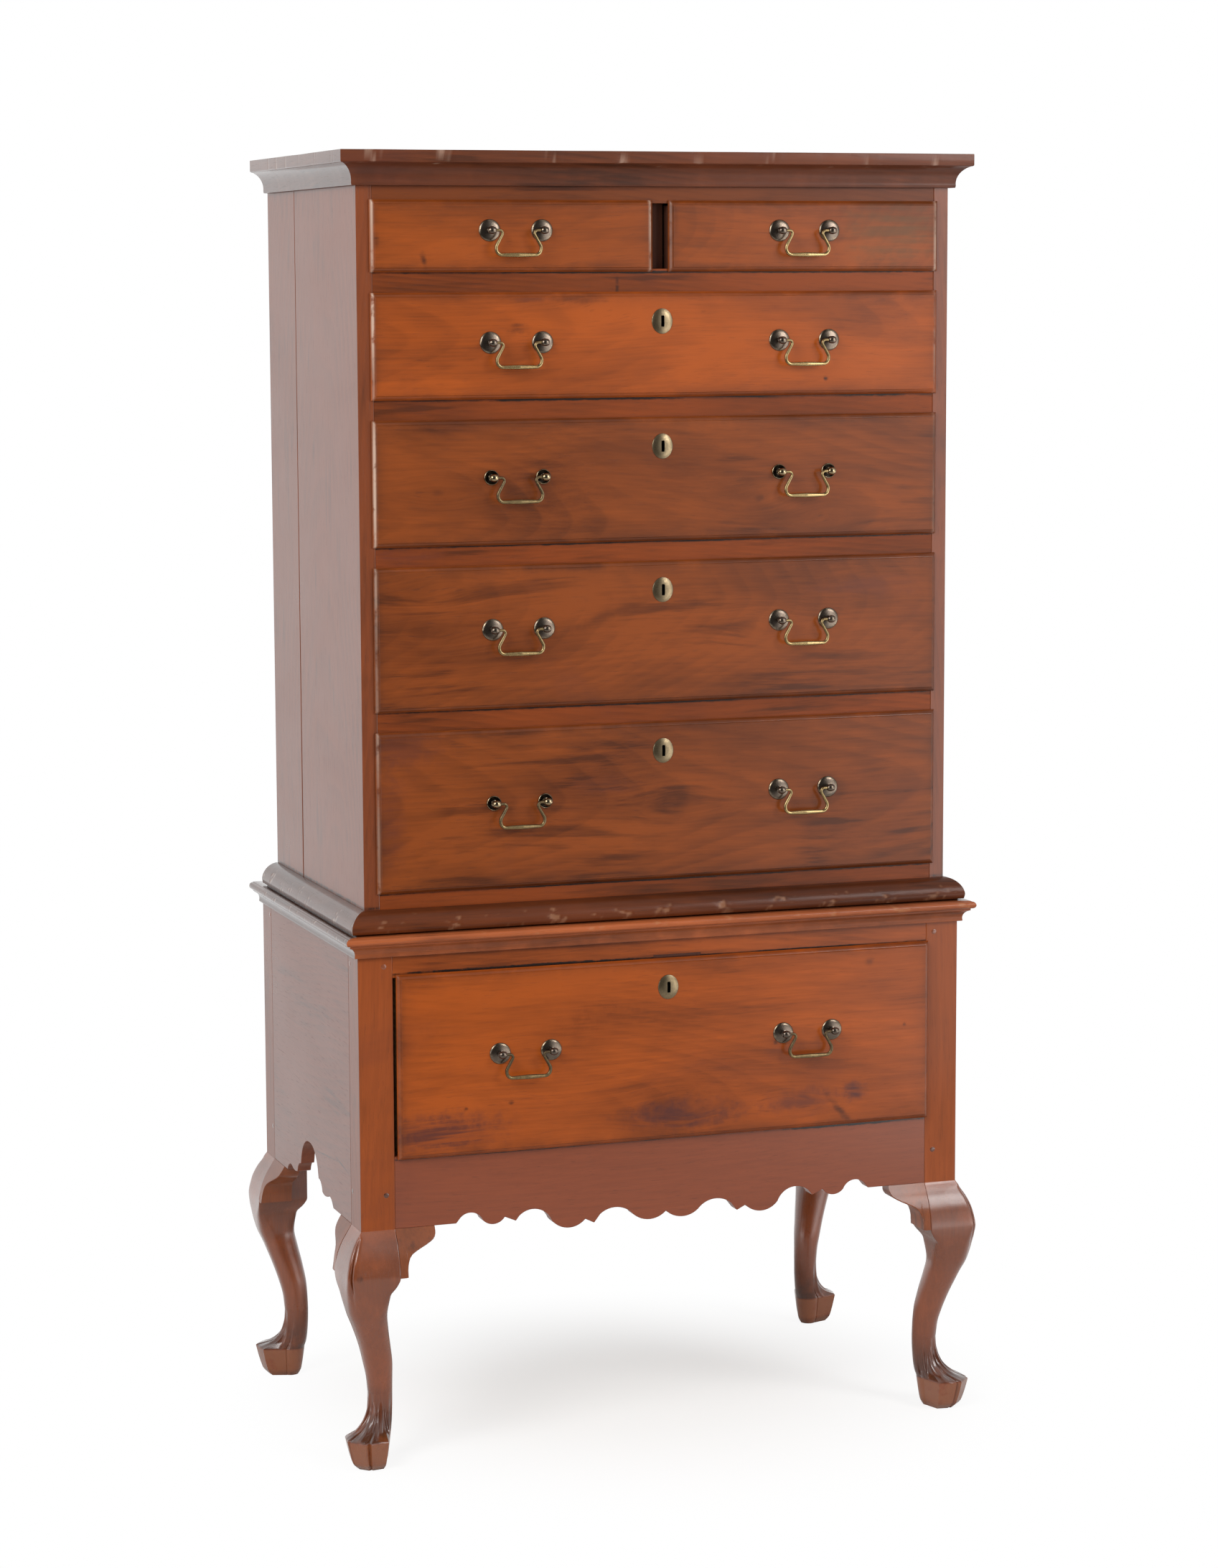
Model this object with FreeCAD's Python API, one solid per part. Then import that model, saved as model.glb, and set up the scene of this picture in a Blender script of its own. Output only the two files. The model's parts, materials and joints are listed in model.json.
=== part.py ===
import FreeCAD, Part
import math
import os
from FreeCAD import Vector

# A highboy: a chest of drawers standing on a low case with four cabriole legs.
# Millimetres, +Z up, the front looks along -Y, and the origin is on the floor
# under the middle of the whole piece, bails and rear knees counted.

# lower case
lower_w = 890.0         # across the two corner posts
lower_d = 524.0         # front of the front posts to the back of the rear ones
leg_h = 336.8           # floor to the straight underside of the case
post = 49.0             # square stock of a corner post and its leg
rail_t = 22.0           # thickness of rails and the front skirt
side_t = 20.0           # thickness of the side boards of the lower case

# upper case
shoulder = 15.0         # the upper case stands in from the lower one at each side
setback = 17.0          # its front stands this far behind the lower front
back_step = 33.0        # and its back this far before the lower back
board = 22.0            # thickness of the upper sides
back_t = 12.0           # back boards
back_in = 3.0           # the stand's back lies this far inside its posts
top_t = 20.0            # top and bottom boards
dust_t = 10.0           # thin board over the stand
blade_d = 60.0          # depth of the rails between drawers
joint_back = 152.0      # width of the rear board of a glued-up side
joint_open = 3.6        # how far the left side's glue joint has opened at its foot
joint_top = 0.8         # and at its top

# drawers
lip_gap = 27.0          # rail seen between two lips
lip_over = 4.0          # lip laps the frame by this much
lip_t = 8.0             # how far a front stands out of the case
lip_round = 5.5         # radius of the thumb moulding
lip_step = 1.0          # fillet between thumb moulding and face
stile_seen = 17.5       # side of the case seen beside a lip
base_reveal = 21.0      # bottom rail seen between the waist moulding and a lip
top_reveal = 18.5       # top rail seen under the cornice
skirt_h = 97.0          # front skirt, from the straight underside to the lower lip
upper_lips = (221.0, 196.5, 170.5, 143.5, 96.5)
lower_lip_h = 257.0     # height over the lips of the stand's drawer
lower_rail_seen = 26.0  # rail seen above that lip
lip_lost = 3.5          # the stand's drawer has lost the edge of its left lip
lip_right_over = 2.0    # and its right lip laps the post by this much
pair_gap = 23.0         # between the lips of the two small top drawers
divider_t = 20.0        # upright between them
divider_back = 16.0     # and its set-back
inner_t = 14.0          # part of a front that stands in the opening
rebate = 5.6            # of this the box sides leave so much in front of them
box_side_t = 11.0
box_bottom_t = 8.0
bottom_up = 8.0         # drawer bottom above the lower edge of its sides
box_back_gap = 20.0     # behind a closed drawer
side_play = 1.5
head_play = 3.0
run_play = 0.3          # a drawer's bearing surface above its runner
lip_play = 0.4          # closed lip to the case front
lower_ajar = 2.4        # the stand's drawer stands a little open
runner_w = 25.0
runner_h = 20.0

# mouldings, as projection and height
base_mould_h = 30.0
base_mould_out = 20.7
waist_mould_h = 32.0
waist_mould_out = 24.0
cornice_h = 46.5
cornice_out = 27.5
cornice_back = 9.0      # the cornice returns stop short of the back

# brasses
post_span = 74.0        # between the two posts of a handle
handle_x = 209.5        # middle of a handle from the centre line
pin_out = 13.0          # bail axis in front of the drawer face
nose = 5.4              # post head in front of the bail axis
head_r = 6.0
neck_r = 3.6
shank = 4.4
nut_w = 9.0
nut_t = 3.2
rosette_r = 15.0
rosette_t = 4.0
ring_r = 10.5
ring_in = 6.3
ring_t = 1.8
wire_r = 2.1
grip_r = 3.0            # bail is thicker in the middle of its grip
bail_drop = 33.0
pin_play = 0.4
escutcheon_w = 30.0
escutcheon_h = 34.5
escutcheon_t = 3.2
escutcheon_drop = 40.0  # below the top of the lip
keyhole_w = 5.0
keyhole_h = 16.0
lock_w = 62.0
lock_h = 52.0
lock_t = 9.0
handle_rise = {"drawer_lower": 11.5, "drawer_1": 8.3, "drawer_2": 10.8,
               "drawer_3": 7.0, "drawer_4": 4.5, "drawer_5_left": 7.5,
               "drawer_5_right": 7.5}

# cabriole leg
knee_out = 25.5         # knee stands this far beyond the case
knee_h = 64.0           # case to the fullest of the knee, where the brackets end
ankle_h = 101.0         # floor to the thinnest of the ankle
ankle_r = 17.6
ankle_in = 8.8          # ankle moves in from the post's middle, each way
foot_h = 43.0
heel_u = -4.0           # middle of the heel from the post's middle, along the diagonal
sole_u = 4.0            # the sole tapers about this point
heel_r = 18.5
toe_long = 56.0         # heel centre to the flat end of the middle toe
toe_side = 46.0         # to the outer corner of a side toe
toe_cut = 5.0           # depth of the cut between two toes
sole_scale = 0.62       # the sole is this much smaller than the top of the toes
sole_edge = 10.0        # height of the chamfer round it

# pegs through the tenons
peg_r = 4.0
peg_l = 30.0
peg_up = 48.0           # lower pegs above the underside of the case
peg_down = 14.0         # upper pegs below the base moulding
peg_side = 8.0          # from the post's inner edge, seen from the side
peg_front = 12.5        # from the post's inner edge, seen from the front

# knee brackets
bracket_w = 56.0
bracket_end = 9.0       # upright end of a bracket under the case
bracket_foot = 11.0     # width of the narrow part beside the post

# levels and planes worked out from the above
upper_w = lower_w - 2 * shoulder
upper_d = lower_d - setback - back_step
front_reach = lip_t + lower_ajar + pin_out + nose
lower_h = skirt_h + lower_lip_h + lower_rail_seen + base_mould_h
upper_h = (waist_mould_h + base_reveal + sum(upper_lips) + lip_gap * (len(upper_lips) - 1)
           + top_reveal + cornice_h)
lower_front = (front_reach - lower_d - knee_out) / 2
lower_back = lower_front + lower_d
upper_front = lower_front + setback
upper_back = upper_front + upper_d
case_bottom = leg_h
lower_top = leg_h + lower_h
upper_top = lower_top + upper_h
half_lower = lower_w / 2
half_upper = upper_w / 2
open_upper = half_upper - board
open_lower = half_lower - post
post_x = half_lower - post / 2
lip_side = half_upper - stile_seen
lower_lip_left = open_lower - lip_lost
lower_lip_right = open_lower + lip_right_over
waist_top = lower_top + waist_mould_h
cornice_bottom = upper_top - cornice_h
lower_lip_top = lower_top - base_mould_h - lower_rail_seen
lower_lip_bottom = lower_lip_top - lower_lip_h
lower_open_top = lower_lip_top - lip_over
lower_open_bottom = lower_lip_bottom + lip_over
left, right = -1, 1


def lip_levels():
    """Bottom and top of each row of lips in the upper case."""
    rows = []
    z = waist_top + base_reveal
    for h in upper_lips:
        rows.append((z, z + h))
        z += h + lip_gap
    return rows


rows = lip_levels()


def block(x0, x1, y0, y1, z0, z1):
    return Part.makeBox(x1 - x0, y1 - y0, z1 - z0, Vector(x0, y0, z0))


def edge_wire(path, place):
    """Closed wire from a start point, line ends, and (mid, end) pairs for arcs."""
    edges = []
    here = path[0]
    for item in path[1:]:
        if isinstance(item[0], tuple):
            mid, end = item
            edges.append(Part.Arc(place(*here), place(*mid), place(*end)).toShape())
        else:
            end = item
            edges.append(Part.makeLine(place(*here), place(*end)))
        here = end
    if (place(*here) - place(*path[0])).Length > 1e-6:
        edges.append(Part.makeLine(place(*here), place(*path[0])))
    return Part.Wire(edges)


def plate(path, place, along):
    return Part.Face(edge_wire(path, place)).extrude(along)


def mirror_x(shape):
    return shape.mirror(Vector(0, 0, 0), Vector(1, 0, 0))


def skin(rings):
    """Solid with flat facets through rings that hold the same number of points."""
    faces = []
    count = len(rings[0])
    for low, high in zip(rings, rings[1:]):
        for k in range(count):
            a, b = low[k], low[(k + 1) % count]
            c, d = high[(k + 1) % count], high[k]
            normal = (b - a).cross(c - a)
            if abs(normal.dot(d - a)) < 1e-7 * normal.Length:
                corners = [[a, b, c, d]]
            elif (c - a).Length < (d - b).Length:
                corners = [[a, b, c], [a, c, d]]
            else:
                corners = [[a, b, d], [b, c, d]]
            faces += [Part.Face(Part.makePolygon(q + q[:1])) for q in corners]
    for ring in (rings[0], rings[-1]):
        faces.append(Part.Face(Part.makePolygon(ring + ring[:1])))
    shell = Part.makeShell(faces)
    shell.sewShape()
    solid = Part.makeSolid(shell)
    if solid.Volume < 0:
        solid.reverse()
    return solid


def mirror_path(path):
    """The other half of an outline that starts on its centre line, run backwards."""
    ends = [path[0]]
    mids = []
    for item in path[1:]:
        if isinstance(item[0], tuple):
            mids.append(item[0])
            ends.append(item[1])
        else:
            mids.append(None)
            ends.append(item)
    back = [(-ends[-1][0], ends[-1][1])]
    for mid, end in zip(reversed(mids), reversed(ends[:-1])):
        flipped = (-end[0], end[1])
        back.append(((-mid[0], mid[1]), flipped) if mid else flipped)
    return back


def prism_along_y(sides, radius, x, y0, y1, z, turn=0.5):
    points = [Vector(x + radius * math.cos(2 * math.pi * (k + turn) / sides), y0,
                     z + radius * math.sin(2 * math.pi * (k + turn) / sides))
              for k in range(sides)]
    return Part.Face(Part.makePolygon(points + points[:1])).extrude(Vector(0, y1 - y0, 0))


def prism_along_x(sides, radius, x0, x1, y, z, turn=0.5):
    points = [Vector(x0, y + radius * math.cos(2 * math.pi * (k + turn) / sides),
                     z + radius * math.sin(2 * math.pi * (k + turn) / sides))
              for k in range(sides)]
    return Part.Face(Part.makePolygon(points + points[:1])).extrude(Vector(x1 - x0, 0, 0))


# half of the foot's outline from the middle toe round to the heel: angle and reach
toe_outline = ((0.0, toe_long), (13.0, toe_long + 1.5), (16.5, toe_long - toe_cut),
               (20.5, toe_long - 1.5), (33.0, (toe_long + toe_side) / 2 - 1.8),
               (49.5, toe_side), (90.0, heel_r + 1.5), (135.0, heel_r), (180.0, heel_r))
foot_outline = toe_outline + tuple((360.0 - a, r) for a, r in reversed(toe_outline[1:-1]))


def leg_ring(z, out, inner, n_out, n_in):
    """Section between square and round, |x|^n + |y|^n = h^n, turned to the diagonal.

    out and inner are its reaches from the middle of the post, away from and
    under the case; n is n_out at the outer arris and n_in from the flanks inwards."""
    half = (out + inner) / 2
    shift = (out - inner) / 2
    ring = []
    for angle, _ in foot_outline:
        turn = min(1.0, min(angle, 360 - angle) / 90)
        n = n_out + (n_in - n_out) * turn
        a = math.radians(angle - 45)
        r = half / (abs(math.cos(a)) ** n + abs(math.sin(a)) ** n) ** (1 / n)
        ring.append(Vector(shift + r * math.cos(a), -shift + r * math.sin(a), z))
    return ring


def foot_ring(z, grow, scale=1.0):
    """Ring of the foot; grow runs from 0 at the round ankle to 1 at the toes."""
    ankle_u = -ankle_in * math.sqrt(2)
    ring = []
    for angle, r in foot_outline:
        a = math.radians(angle)
        u = (1 - grow) * (ankle_u + ankle_r * math.cos(a)) + grow * (heel_u + r * math.cos(a))
        v = ((1 - grow) * ankle_r + grow * r) * math.sin(a)
        u = sole_u + (u - sole_u) * scale
        v *= scale
        ring.append(Vector((u + v) * math.sqrt(0.5), (v - u) * math.sqrt(0.5), z))
    return ring


# the knee below the case: share of its height, share of its reach, arris exponent
square = 100.0
knee_swell = ((0.0, 0.0, square), (0.16, 0.25, 12.0), (0.37, 0.57, 6.0),
              (0.66, 0.85, 4.2), (1.0, 1.0, 3.6))


def leg_rings():
    """Rings from the underside of the case down to the floor."""
    s = post / 2
    k = s + knee_out
    a = ankle_r
    m = ankle_in
    rings = [leg_ring(leg_h - knee_h * down, s + knee_out * reach, s, n, square)
             for down, reach, n in knee_swell]
    top = leg_h - knee_h
    shin = ((0.06, k - 0.2, s * 0.84, 3.4, 9.0), (0.14, k - 1.6, s * 0.52, 3.2, 3.4),
            (0.29, k - 6.4, s * 0.47, 2.8, 2.7), (0.43, k - 15.8, s * 0.63, 2.6, 2.4),
            (0.61, k - 27.2, s * 0.86, 2.4, 2.3),
            (0.765, a * 1.15 - m * 0.55, a * 1.15 + m * 0.55, 2.3, 2.2),
            (0.88, a * 1.05 - m * 0.85, a * 1.05 + m * 0.85, 2.1, 2.1))
    rings += [leg_ring(top - (top - ankle_h) * down, out, inner, n_out, n_in)
              for down, out, inner, n_out, n_in in shin]
    rings.append(foot_ring(ankle_h, 0.0))
    span = ankle_h - foot_h
    for share, grow in ((0.58, 0.08), (0.34, 0.24), (0.16, 0.52), (0.04, 0.86)):
        rings.append(foot_ring(foot_h + span * share, grow))
    rings.append(foot_ring(foot_h * 0.95, 1.0))
    rings.append(foot_ring(sole_edge, 1.0, 0.81))
    rings.append(foot_ring(0.0, 1.0, sole_scale))
    return rings


def make_leg(side, rear):
    """One post with its leg and three-toed foot, cut from one stick."""
    s = post / 2
    stick = block(-s, s, -s, s, leg_h, lower_top)
    leg = stick.fuse(skin(leg_rings()))
    for peg in peg_holes(side, rear):
        leg = leg.cut(peg)
    if rear:
        leg = leg.mirror(Vector(0, 0, 0), Vector(0, 1, 0))
    if side == left:
        leg = mirror_x(leg)
    leg.translate(Vector(side * post_x, (lower_back - s) if rear else (lower_front + s), 0))
    return leg


def peg_places(rear):
    """Pegs that lock the tenons, as (face, along, level), from the post's middle."""
    s = post / 2
    low = leg_h + peg_up
    high = lower_top - base_mould_h - peg_down
    places = [("side", peg_side, low), ("side", peg_side, high)]
    if not rear:
        places += [("front", peg_front, low), ("front", peg_front, high)]
    return [(face, s - along, z) for face, along, z in places]


def peg_holes(side, rear):
    s = post / 2
    made = []
    for face, along, z in peg_places(rear):
        if face == "side":
            made.append(prism_along_x(6, peg_r, s - peg_l, s, along, z))
        else:
            made.append(prism_along_y(6, peg_r, -along, -s, -s + peg_l, z))
    return made


def make_pegs():
    solids = []
    s = post / 2
    for side in (left, right):
        for rear in (False, True):
            for peg in peg_holes(side, rear):
                if rear:
                    peg = peg.mirror(Vector(0, 0, 0), Vector(0, 1, 0))
                if side == left:
                    peg = mirror_x(peg)
                y = (lower_back - s) if rear else (lower_front + s)
                peg.translate(Vector(side * post_x, y, 0))
                solids.append(peg)
    return Part.makeCompound(solids)


def bracket_outline():
    """Front view beside a post: u away from the post, z down from the case."""
    w = bracket_w
    e = bracket_end
    foot = bracket_foot
    return [(0.0, 0.0), (w, 0.0), (w, -e), (w - 2.5, -e - 6.5), (w - 9.0, -e - 10.5),
            (foot + 14.0, -knee_h * 0.47), (foot + 4.0, -knee_h * 0.59),
            (foot, -knee_h * 0.77), (foot, -knee_h), (0.0, -knee_h)]


def make_bracket(thick):
    """A shaped block glued under the case, as if beside a post at x = 0, front at y = 0.

    Its front carries the swell of the knee on, a little flatter at the free end."""
    outline = plate(bracket_outline(), lambda u, z: Vector(u, -knee_out - 5, z),
                    Vector(0, knee_out + 5 + thick, 0))
    flatter = 0.93
    drop = knee_h + 5
    swell = []
    for u, share in ((0.0, 1.0), (bracket_w + 1, flatter)):
        bulge = [(-knee_out * reach * share, -knee_h * down) for down, reach, _ in knee_swell]
        bulge += [(bulge[-1][0], -drop), (thick, -drop), (thick, 0.0)]
        swell.append([Vector(u, y, z) for y, z in bulge])
    return outline.common(skin(swell))


def make_knee_brackets():
    thick = rail_t
    solids = []
    for side in (left, right):
        front = make_bracket(thick)
        front = mirror_x(front)
        front.translate(Vector(open_lower, lower_front, case_bottom))
        solids.append(front if side == right else mirror_x(front))
        for rear in (False, True):
            flank = make_bracket(thick)
            flank.rotate(Vector(0, 0, 0), Vector(0, 0, 1), 90)
            flank.translate(Vector(half_lower, lower_front + post, case_bottom))
            if rear:
                middle = lower_front + lower_d / 2
                flank = flank.mirror(Vector(0, middle, 0), Vector(0, 1, 0))
            solids.append(flank if side == right else mirror_x(flank))
    return Part.makeCompound(solids)


# the scallops are drawn for this half width, and spread with it
skirt_drawn = 396.0


def skirt_outline():
    """Right half of the front skirt's scalloped edge, out from the middle."""
    z = case_bottom
    w = open_lower / skirt_drawn
    return [(0.0, z - 8.0),
            ((23.0 * w, z - 18.0), (48.0 * w, z - 9.5)),
            ((76.0 * w, z + 3.5), (98.0 * w, z - 4.5)),
            (107.0 * w, z - 16.0),
            (120.0 * w, z - 9.5),
            ((143.0 * w, z - 20.0), (169.0 * w, z - 8.0)),
            ((199.0 * w, z + 11.0), (217.0 * w, z + 3.0)),
            (222.0 * w, z - 3.5),
            (238.0 * w, z + 3.5),
            ((254.0 * w, z - 5.5), (270.0 * w, z + 1.5)),
            ((290.0 * w, z + 13.5), (304.0 * w, z + 5.5)),
            (308.5 * w, z), (open_lower, z)]


def make_front_skirt():
    half = skirt_outline()
    path = mirror_path(half) + half[1:]
    path += [(open_lower, lower_open_bottom), (-open_lower, lower_open_bottom)]
    return plate(path, lambda x, z: Vector(x, lower_front, z), Vector(0, rail_t, 0))


# repair let into the rail over the stand's drawer
patch_w = 70.0
patch_h = 8.0
patch_t = 5.0
patch_x = 17.0


def patch_block():
    return block(patch_x - patch_w / 2, patch_x + patch_w / 2, lower_front,
                 lower_front + patch_t, lower_open_top, lower_open_top + patch_h)


def make_lower_top_rail():
    """Rail over the stand's drawer, with a small repair let in above the lock."""
    rail = block(-open_lower, open_lower, lower_front, lower_front + rail_t,
                 lower_open_top, lower_top)
    return Part.makeCompound([rail.cut(patch_block()), patch_block()])


# middle of the side arch behind the middle of the stand
side_arch_shift = 11.0


def side_outline():
    """Right half of the side skirt, out from the middle of its pointed arch."""
    z = case_bottom
    return [(0.0, z + 67.5),
            ((31.0, z + 57.5), (46.5, z + 33.0)),
            (49.0, z + 25.5), (54.0, z + 25.0),
            ((64.0, z + 19.5), (69.0, z + 10.0)),
            ((84.0, z + 7.5), (97.0, z + 9.5)),
            ((111.0, z + 12.0), (125.0, z + 3.0)),
            (128.0, z)]


def make_lower_side(side):
    middle = lower_front + lower_d / 2
    reach = lower_d / 2 - post
    half = side_outline()
    path = mirror_path(half) + half[1:]
    path = [(-reach - side_arch_shift, case_bottom)] + path
    path += [(reach - side_arch_shift, case_bottom), (reach - side_arch_shift, lower_top),
             (-reach - side_arch_shift, lower_top)]
    x = side * half_lower
    return plate(path, lambda y, z: Vector(x, middle + side_arch_shift + y, z),
                 Vector(-side * side_t, 0, 0))


def make_lower_back():
    """Two wide boards between the rear posts."""
    y1 = lower_back - back_in
    y0 = y1 - back_t
    split = leg_h + lower_h * 0.52
    return Part.makeCompound([block(-open_lower, open_lower, y0, y1, case_bottom, split),
                              block(-open_lower, open_lower, y0, y1, split, lower_top)])


def make_lower_dust_board():
    """Thin board let in under the chest, flush with the top of the stand."""
    inner = half_lower - side_t
    shape = block(-inner, inner, lower_front + rail_t, lower_back - back_in - back_t,
                  lower_top - dust_t, lower_top)
    for side in (left, right):
        for y0, y1 in ((lower_front, lower_front + post), (lower_back - post, lower_back)):
            x = side * (half_lower - post / 2)
            shape = shape.cut(block(x - post / 2, x + post / 2, y0, y1, 0, lower_top + 1))
    return shape


def make_lower_runners():
    """Bearers for the stand's drawer and the guides that keep it straight."""
    y0 = lower_front + rail_t
    y1 = lower_back - back_in - back_t
    solids = []
    for side in (left, right):
        run = block(open_lower - runner_w, half_lower - side_t, y0, y1,
                    lower_open_bottom - runner_h, lower_open_bottom)
        guide = block(open_lower, half_lower - side_t, lower_front + post, lower_back - post,
                      lower_open_bottom, lower_open_bottom + runner_h)
        for rear_y in (lower_front, lower_back - post):
            run = run.cut(block(open_lower, half_lower, rear_y, rear_y + post, 0, lower_top))
        for piece in (run, guide):
            solids.append(piece if side == right else mirror_x(piece))
    return Part.makeCompound(solids)


def mould_pieces(path, half, front, back):
    """Front length and two returns of a moulding, mitred at the front corners."""
    far = 80.0
    long_x = half + far
    bar = plate(path, lambda p, z: Vector(-long_x, front - p, z), Vector(2 * long_x, 0, 0))
    flat = [Vector(-half, front, 0), Vector(half, front, 0),
            Vector(half + far, front - far, 0), Vector(-half - far, front - far, 0)]
    zone = Part.Face(Part.makePolygon(flat + flat[:1])).extrude(Vector(0, 0, upper_top + 10))
    ret = plate(path, lambda p, z: Vector(half + p, front - far, z),
                Vector(0, back - front + far, 0))
    flat = [Vector(half, front, 0), Vector(half, back, 0), Vector(half + far, back, 0),
            Vector(half + far, front - far, 0)]
    side_zone = Part.Face(Part.makePolygon(flat + flat[:1])).extrude(
        Vector(0, 0, upper_top + 10))
    right_piece = ret.common(side_zone)
    return Part.makeCompound([bar.common(zone), right_piece, mirror_x(right_piece)])


def make_base_moulding():
    """Cove under a half-round, planted round the top of the stand."""
    z = lower_top - base_mould_h
    t = lower_top
    out = base_mould_out
    path = [(0.0, z), (5.6, z), (5.6, z + 2.0),
            ((8.4, t - 17.5), (14.4, t - 14.0)), (14.4, t - 11.0), (15.6, t - 11.0),
            ((out, t - 6.0), (15.6, t - 1.0)), (14.0, t), (0.0, t)]
    return mould_pieces(path, half_lower, lower_front, lower_back)


def make_waist_moulding():
    """Quarter-round that holds the foot of the chest on the stand."""
    z = lower_top
    h = waist_mould_h
    out = waist_mould_out
    path = [(0.0, z), (out - 8.0, z), (out - 8.0, z + 2.5), (out - 1.3, z + 2.5),
            (out, z + 9.0), ((out * 0.72, z + h * 0.75), (2.0, z + h)), (0.0, z + h)]
    return mould_pieces(path, half_upper, upper_front, upper_back)


def make_cornice():
    """Cove cornice under a plain fascia."""
    z = cornice_bottom
    h = cornice_h
    out = cornice_out
    path = [(0.0, z), (7.6, z), (8.2, z + 3.0),
            ((13.0, z + h * 0.45), (out - 3.0, z + h * 0.635)),
            (out - 2.0, z + h * 0.635), (out, z + h * 0.66), (out, z + h), (0.0, z + h)]
    return mould_pieces(path, half_upper, upper_front, upper_back - cornice_back)


def make_upper_side(side):
    """Two boards glued edge to edge; the left joint has opened towards its foot."""
    x0 = open_upper
    x1 = half_upper
    seam = upper_back - joint_back
    front = block(x0, x1, upper_front, seam, lower_top, upper_top)
    low, high = (joint_open, joint_top) if side == left else (0.0, 0.0)
    path = [(seam + low, lower_top), (upper_back, lower_top), (upper_back, upper_top),
            (seam + high, upper_top)]
    rear = plate(path, lambda y, z: Vector(x0, y, z), Vector(x1 - x0, 0, 0))
    pieces = [front, rear]
    if side == left:
        pieces = [mirror_x(p) for p in pieces]
    return Part.makeCompound(pieces)


def make_upper_top():
    return block(-open_upper, open_upper, upper_front, upper_back - back_t,
                 upper_top - top_t, upper_top)


def make_upper_bottom():
    return block(-open_upper, open_upper, upper_front + rail_t, upper_back - back_t,
                 lower_top, lower_top + top_t)


def make_upper_back():
    """Four boards laid across, butted edge to edge."""
    count = 4
    step = upper_h / count
    return Part.makeCompound([block(-open_upper, open_upper, upper_back - back_t, upper_back,
                                    lower_top + k * step, lower_top + (k + 1) * step)
                              for k in range(count)])


def rail_levels():
    """Bottom and top of each rail between two rows of drawers."""
    return [(rows[k][1] - lip_over, rows[k + 1][0] + lip_over) for k in range(len(rows) - 1)]


def make_drawer_rails():
    return Part.makeCompound([block(-open_upper, open_upper, upper_front,
                                    upper_front + blade_d, z0, z1)
                              for z0, z1 in rail_levels()])


def make_bottom_rail():
    return block(-open_upper, open_upper, upper_front, upper_front + rail_t,
                 lower_top, rows[0][0] + lip_over)


def make_top_rail():
    return block(-open_upper, open_upper, upper_front, upper_front + rail_t,
                 rows[-1][1] - lip_over, upper_top - top_t)


def make_divider():
    """Upright between the small drawers, set back from the front."""
    return block(-divider_t / 2, divider_t / 2, upper_front + divider_back,
                 upper_back - back_t, rail_levels()[-1][1], rows[-1][1] - lip_over)


def make_upper_runners():
    """Bearers behind each rail, and kickers over the small drawers."""
    y1 = upper_back - back_t
    solids = []
    tops = [rows[0][0] + lip_over] + [z1 for _, z1 in rail_levels()]
    for k, z in enumerate(tops):
        y0 = upper_front + (rail_t if k == 0 else blade_d)
        for side in (left, right):
            run = block(open_upper - runner_w, open_upper, y0, y1, z - runner_h, z)
            solids.append(run if side == right else mirror_x(run))
    solids.append(block(-runner_w - divider_t / 2, runner_w + divider_t / 2,
                        upper_front + blade_d, y1, tops[-1] - runner_h, tops[-1]))
    z = rows[-1][1] - lip_over
    kick = block(open_upper - runner_w, open_upper, upper_front + rail_t, y1, z, z + runner_h)
    solids += [kick, mirror_x(kick),
               block(-divider_t / 2 - 10, divider_t / 2 + 10, upper_front + rail_t, y1,
                     z, z + runner_h)]
    return Part.makeCompound(solids)


def drawer_specs():
    """Every drawer: lip edges, box edges, levels, front plane, depth and fittings."""
    specs = {}
    play = side_play
    box_len = upper_d - back_t - box_back_gap
    names = ("drawer_1", "drawer_2", "drawer_3", "drawer_4")
    plates = {"drawer_1": ("ring", "rosette"), "drawer_2": ("rosette", "rosette"),
              "drawer_3": ("ring", "ring"), "drawer_4": ("rosette", "rosette")}
    for name, (z0, z1) in zip(names, rows):
        specs[name] = dict(x0=-lip_side, x1=lip_side, b0=-open_upper + play,
                           b1=open_upper - play, z0=z0, z1=z1, face=upper_front,
                           gap=lip_play, length=box_len, locks=True,
                           handles=((-handle_x, plates[name][0]), (handle_x, plates[name][1])))
    z0, z1 = rows[-1]
    for name, side in (("drawer_5_left", left), ("drawer_5_right", right)):
        edges = sorted((side * lip_side, side * pair_gap / 2))
        boxes = sorted((side * (open_upper - play), side * (divider_t / 2 + 2.0 + play)))
        specs[name] = dict(x0=edges[0], x1=edges[1], b0=boxes[0], b1=boxes[1], z0=z0, z1=z1,
                           face=upper_front, gap=lip_play, length=box_len, locks=False,
                           handles=((side * handle_x, "rosette"),))
    specs["drawer_lower"] = dict(x0=-lower_lip_left, x1=lower_lip_right,
                                 b0=-lower_lip_left + lip_over, b1=open_lower - play,
                                 z0=lower_lip_bottom, z1=lower_lip_top, face=lower_front,
                                 gap=lower_ajar,
                                 length=lower_d - back_in - back_t - box_back_gap,
                                 locks=True,
                                 handles=((-handle_x, "rosette"), (handle_x, "rosette")))
    return specs


def face_y(spec):
    """The front surface of a drawer."""
    return spec["face"] - spec["gap"] - lip_t


def box_levels(spec):
    bottom = spec["z0"] + lip_over + run_play
    return bottom, spec["z1"] - lip_over - head_play


def handle_z(name, spec):
    return (spec["z0"] + spec["z1"]) / 2 + handle_rise[name]


def lock_z(spec):
    return spec["z1"] - escutcheon_drop


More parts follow.
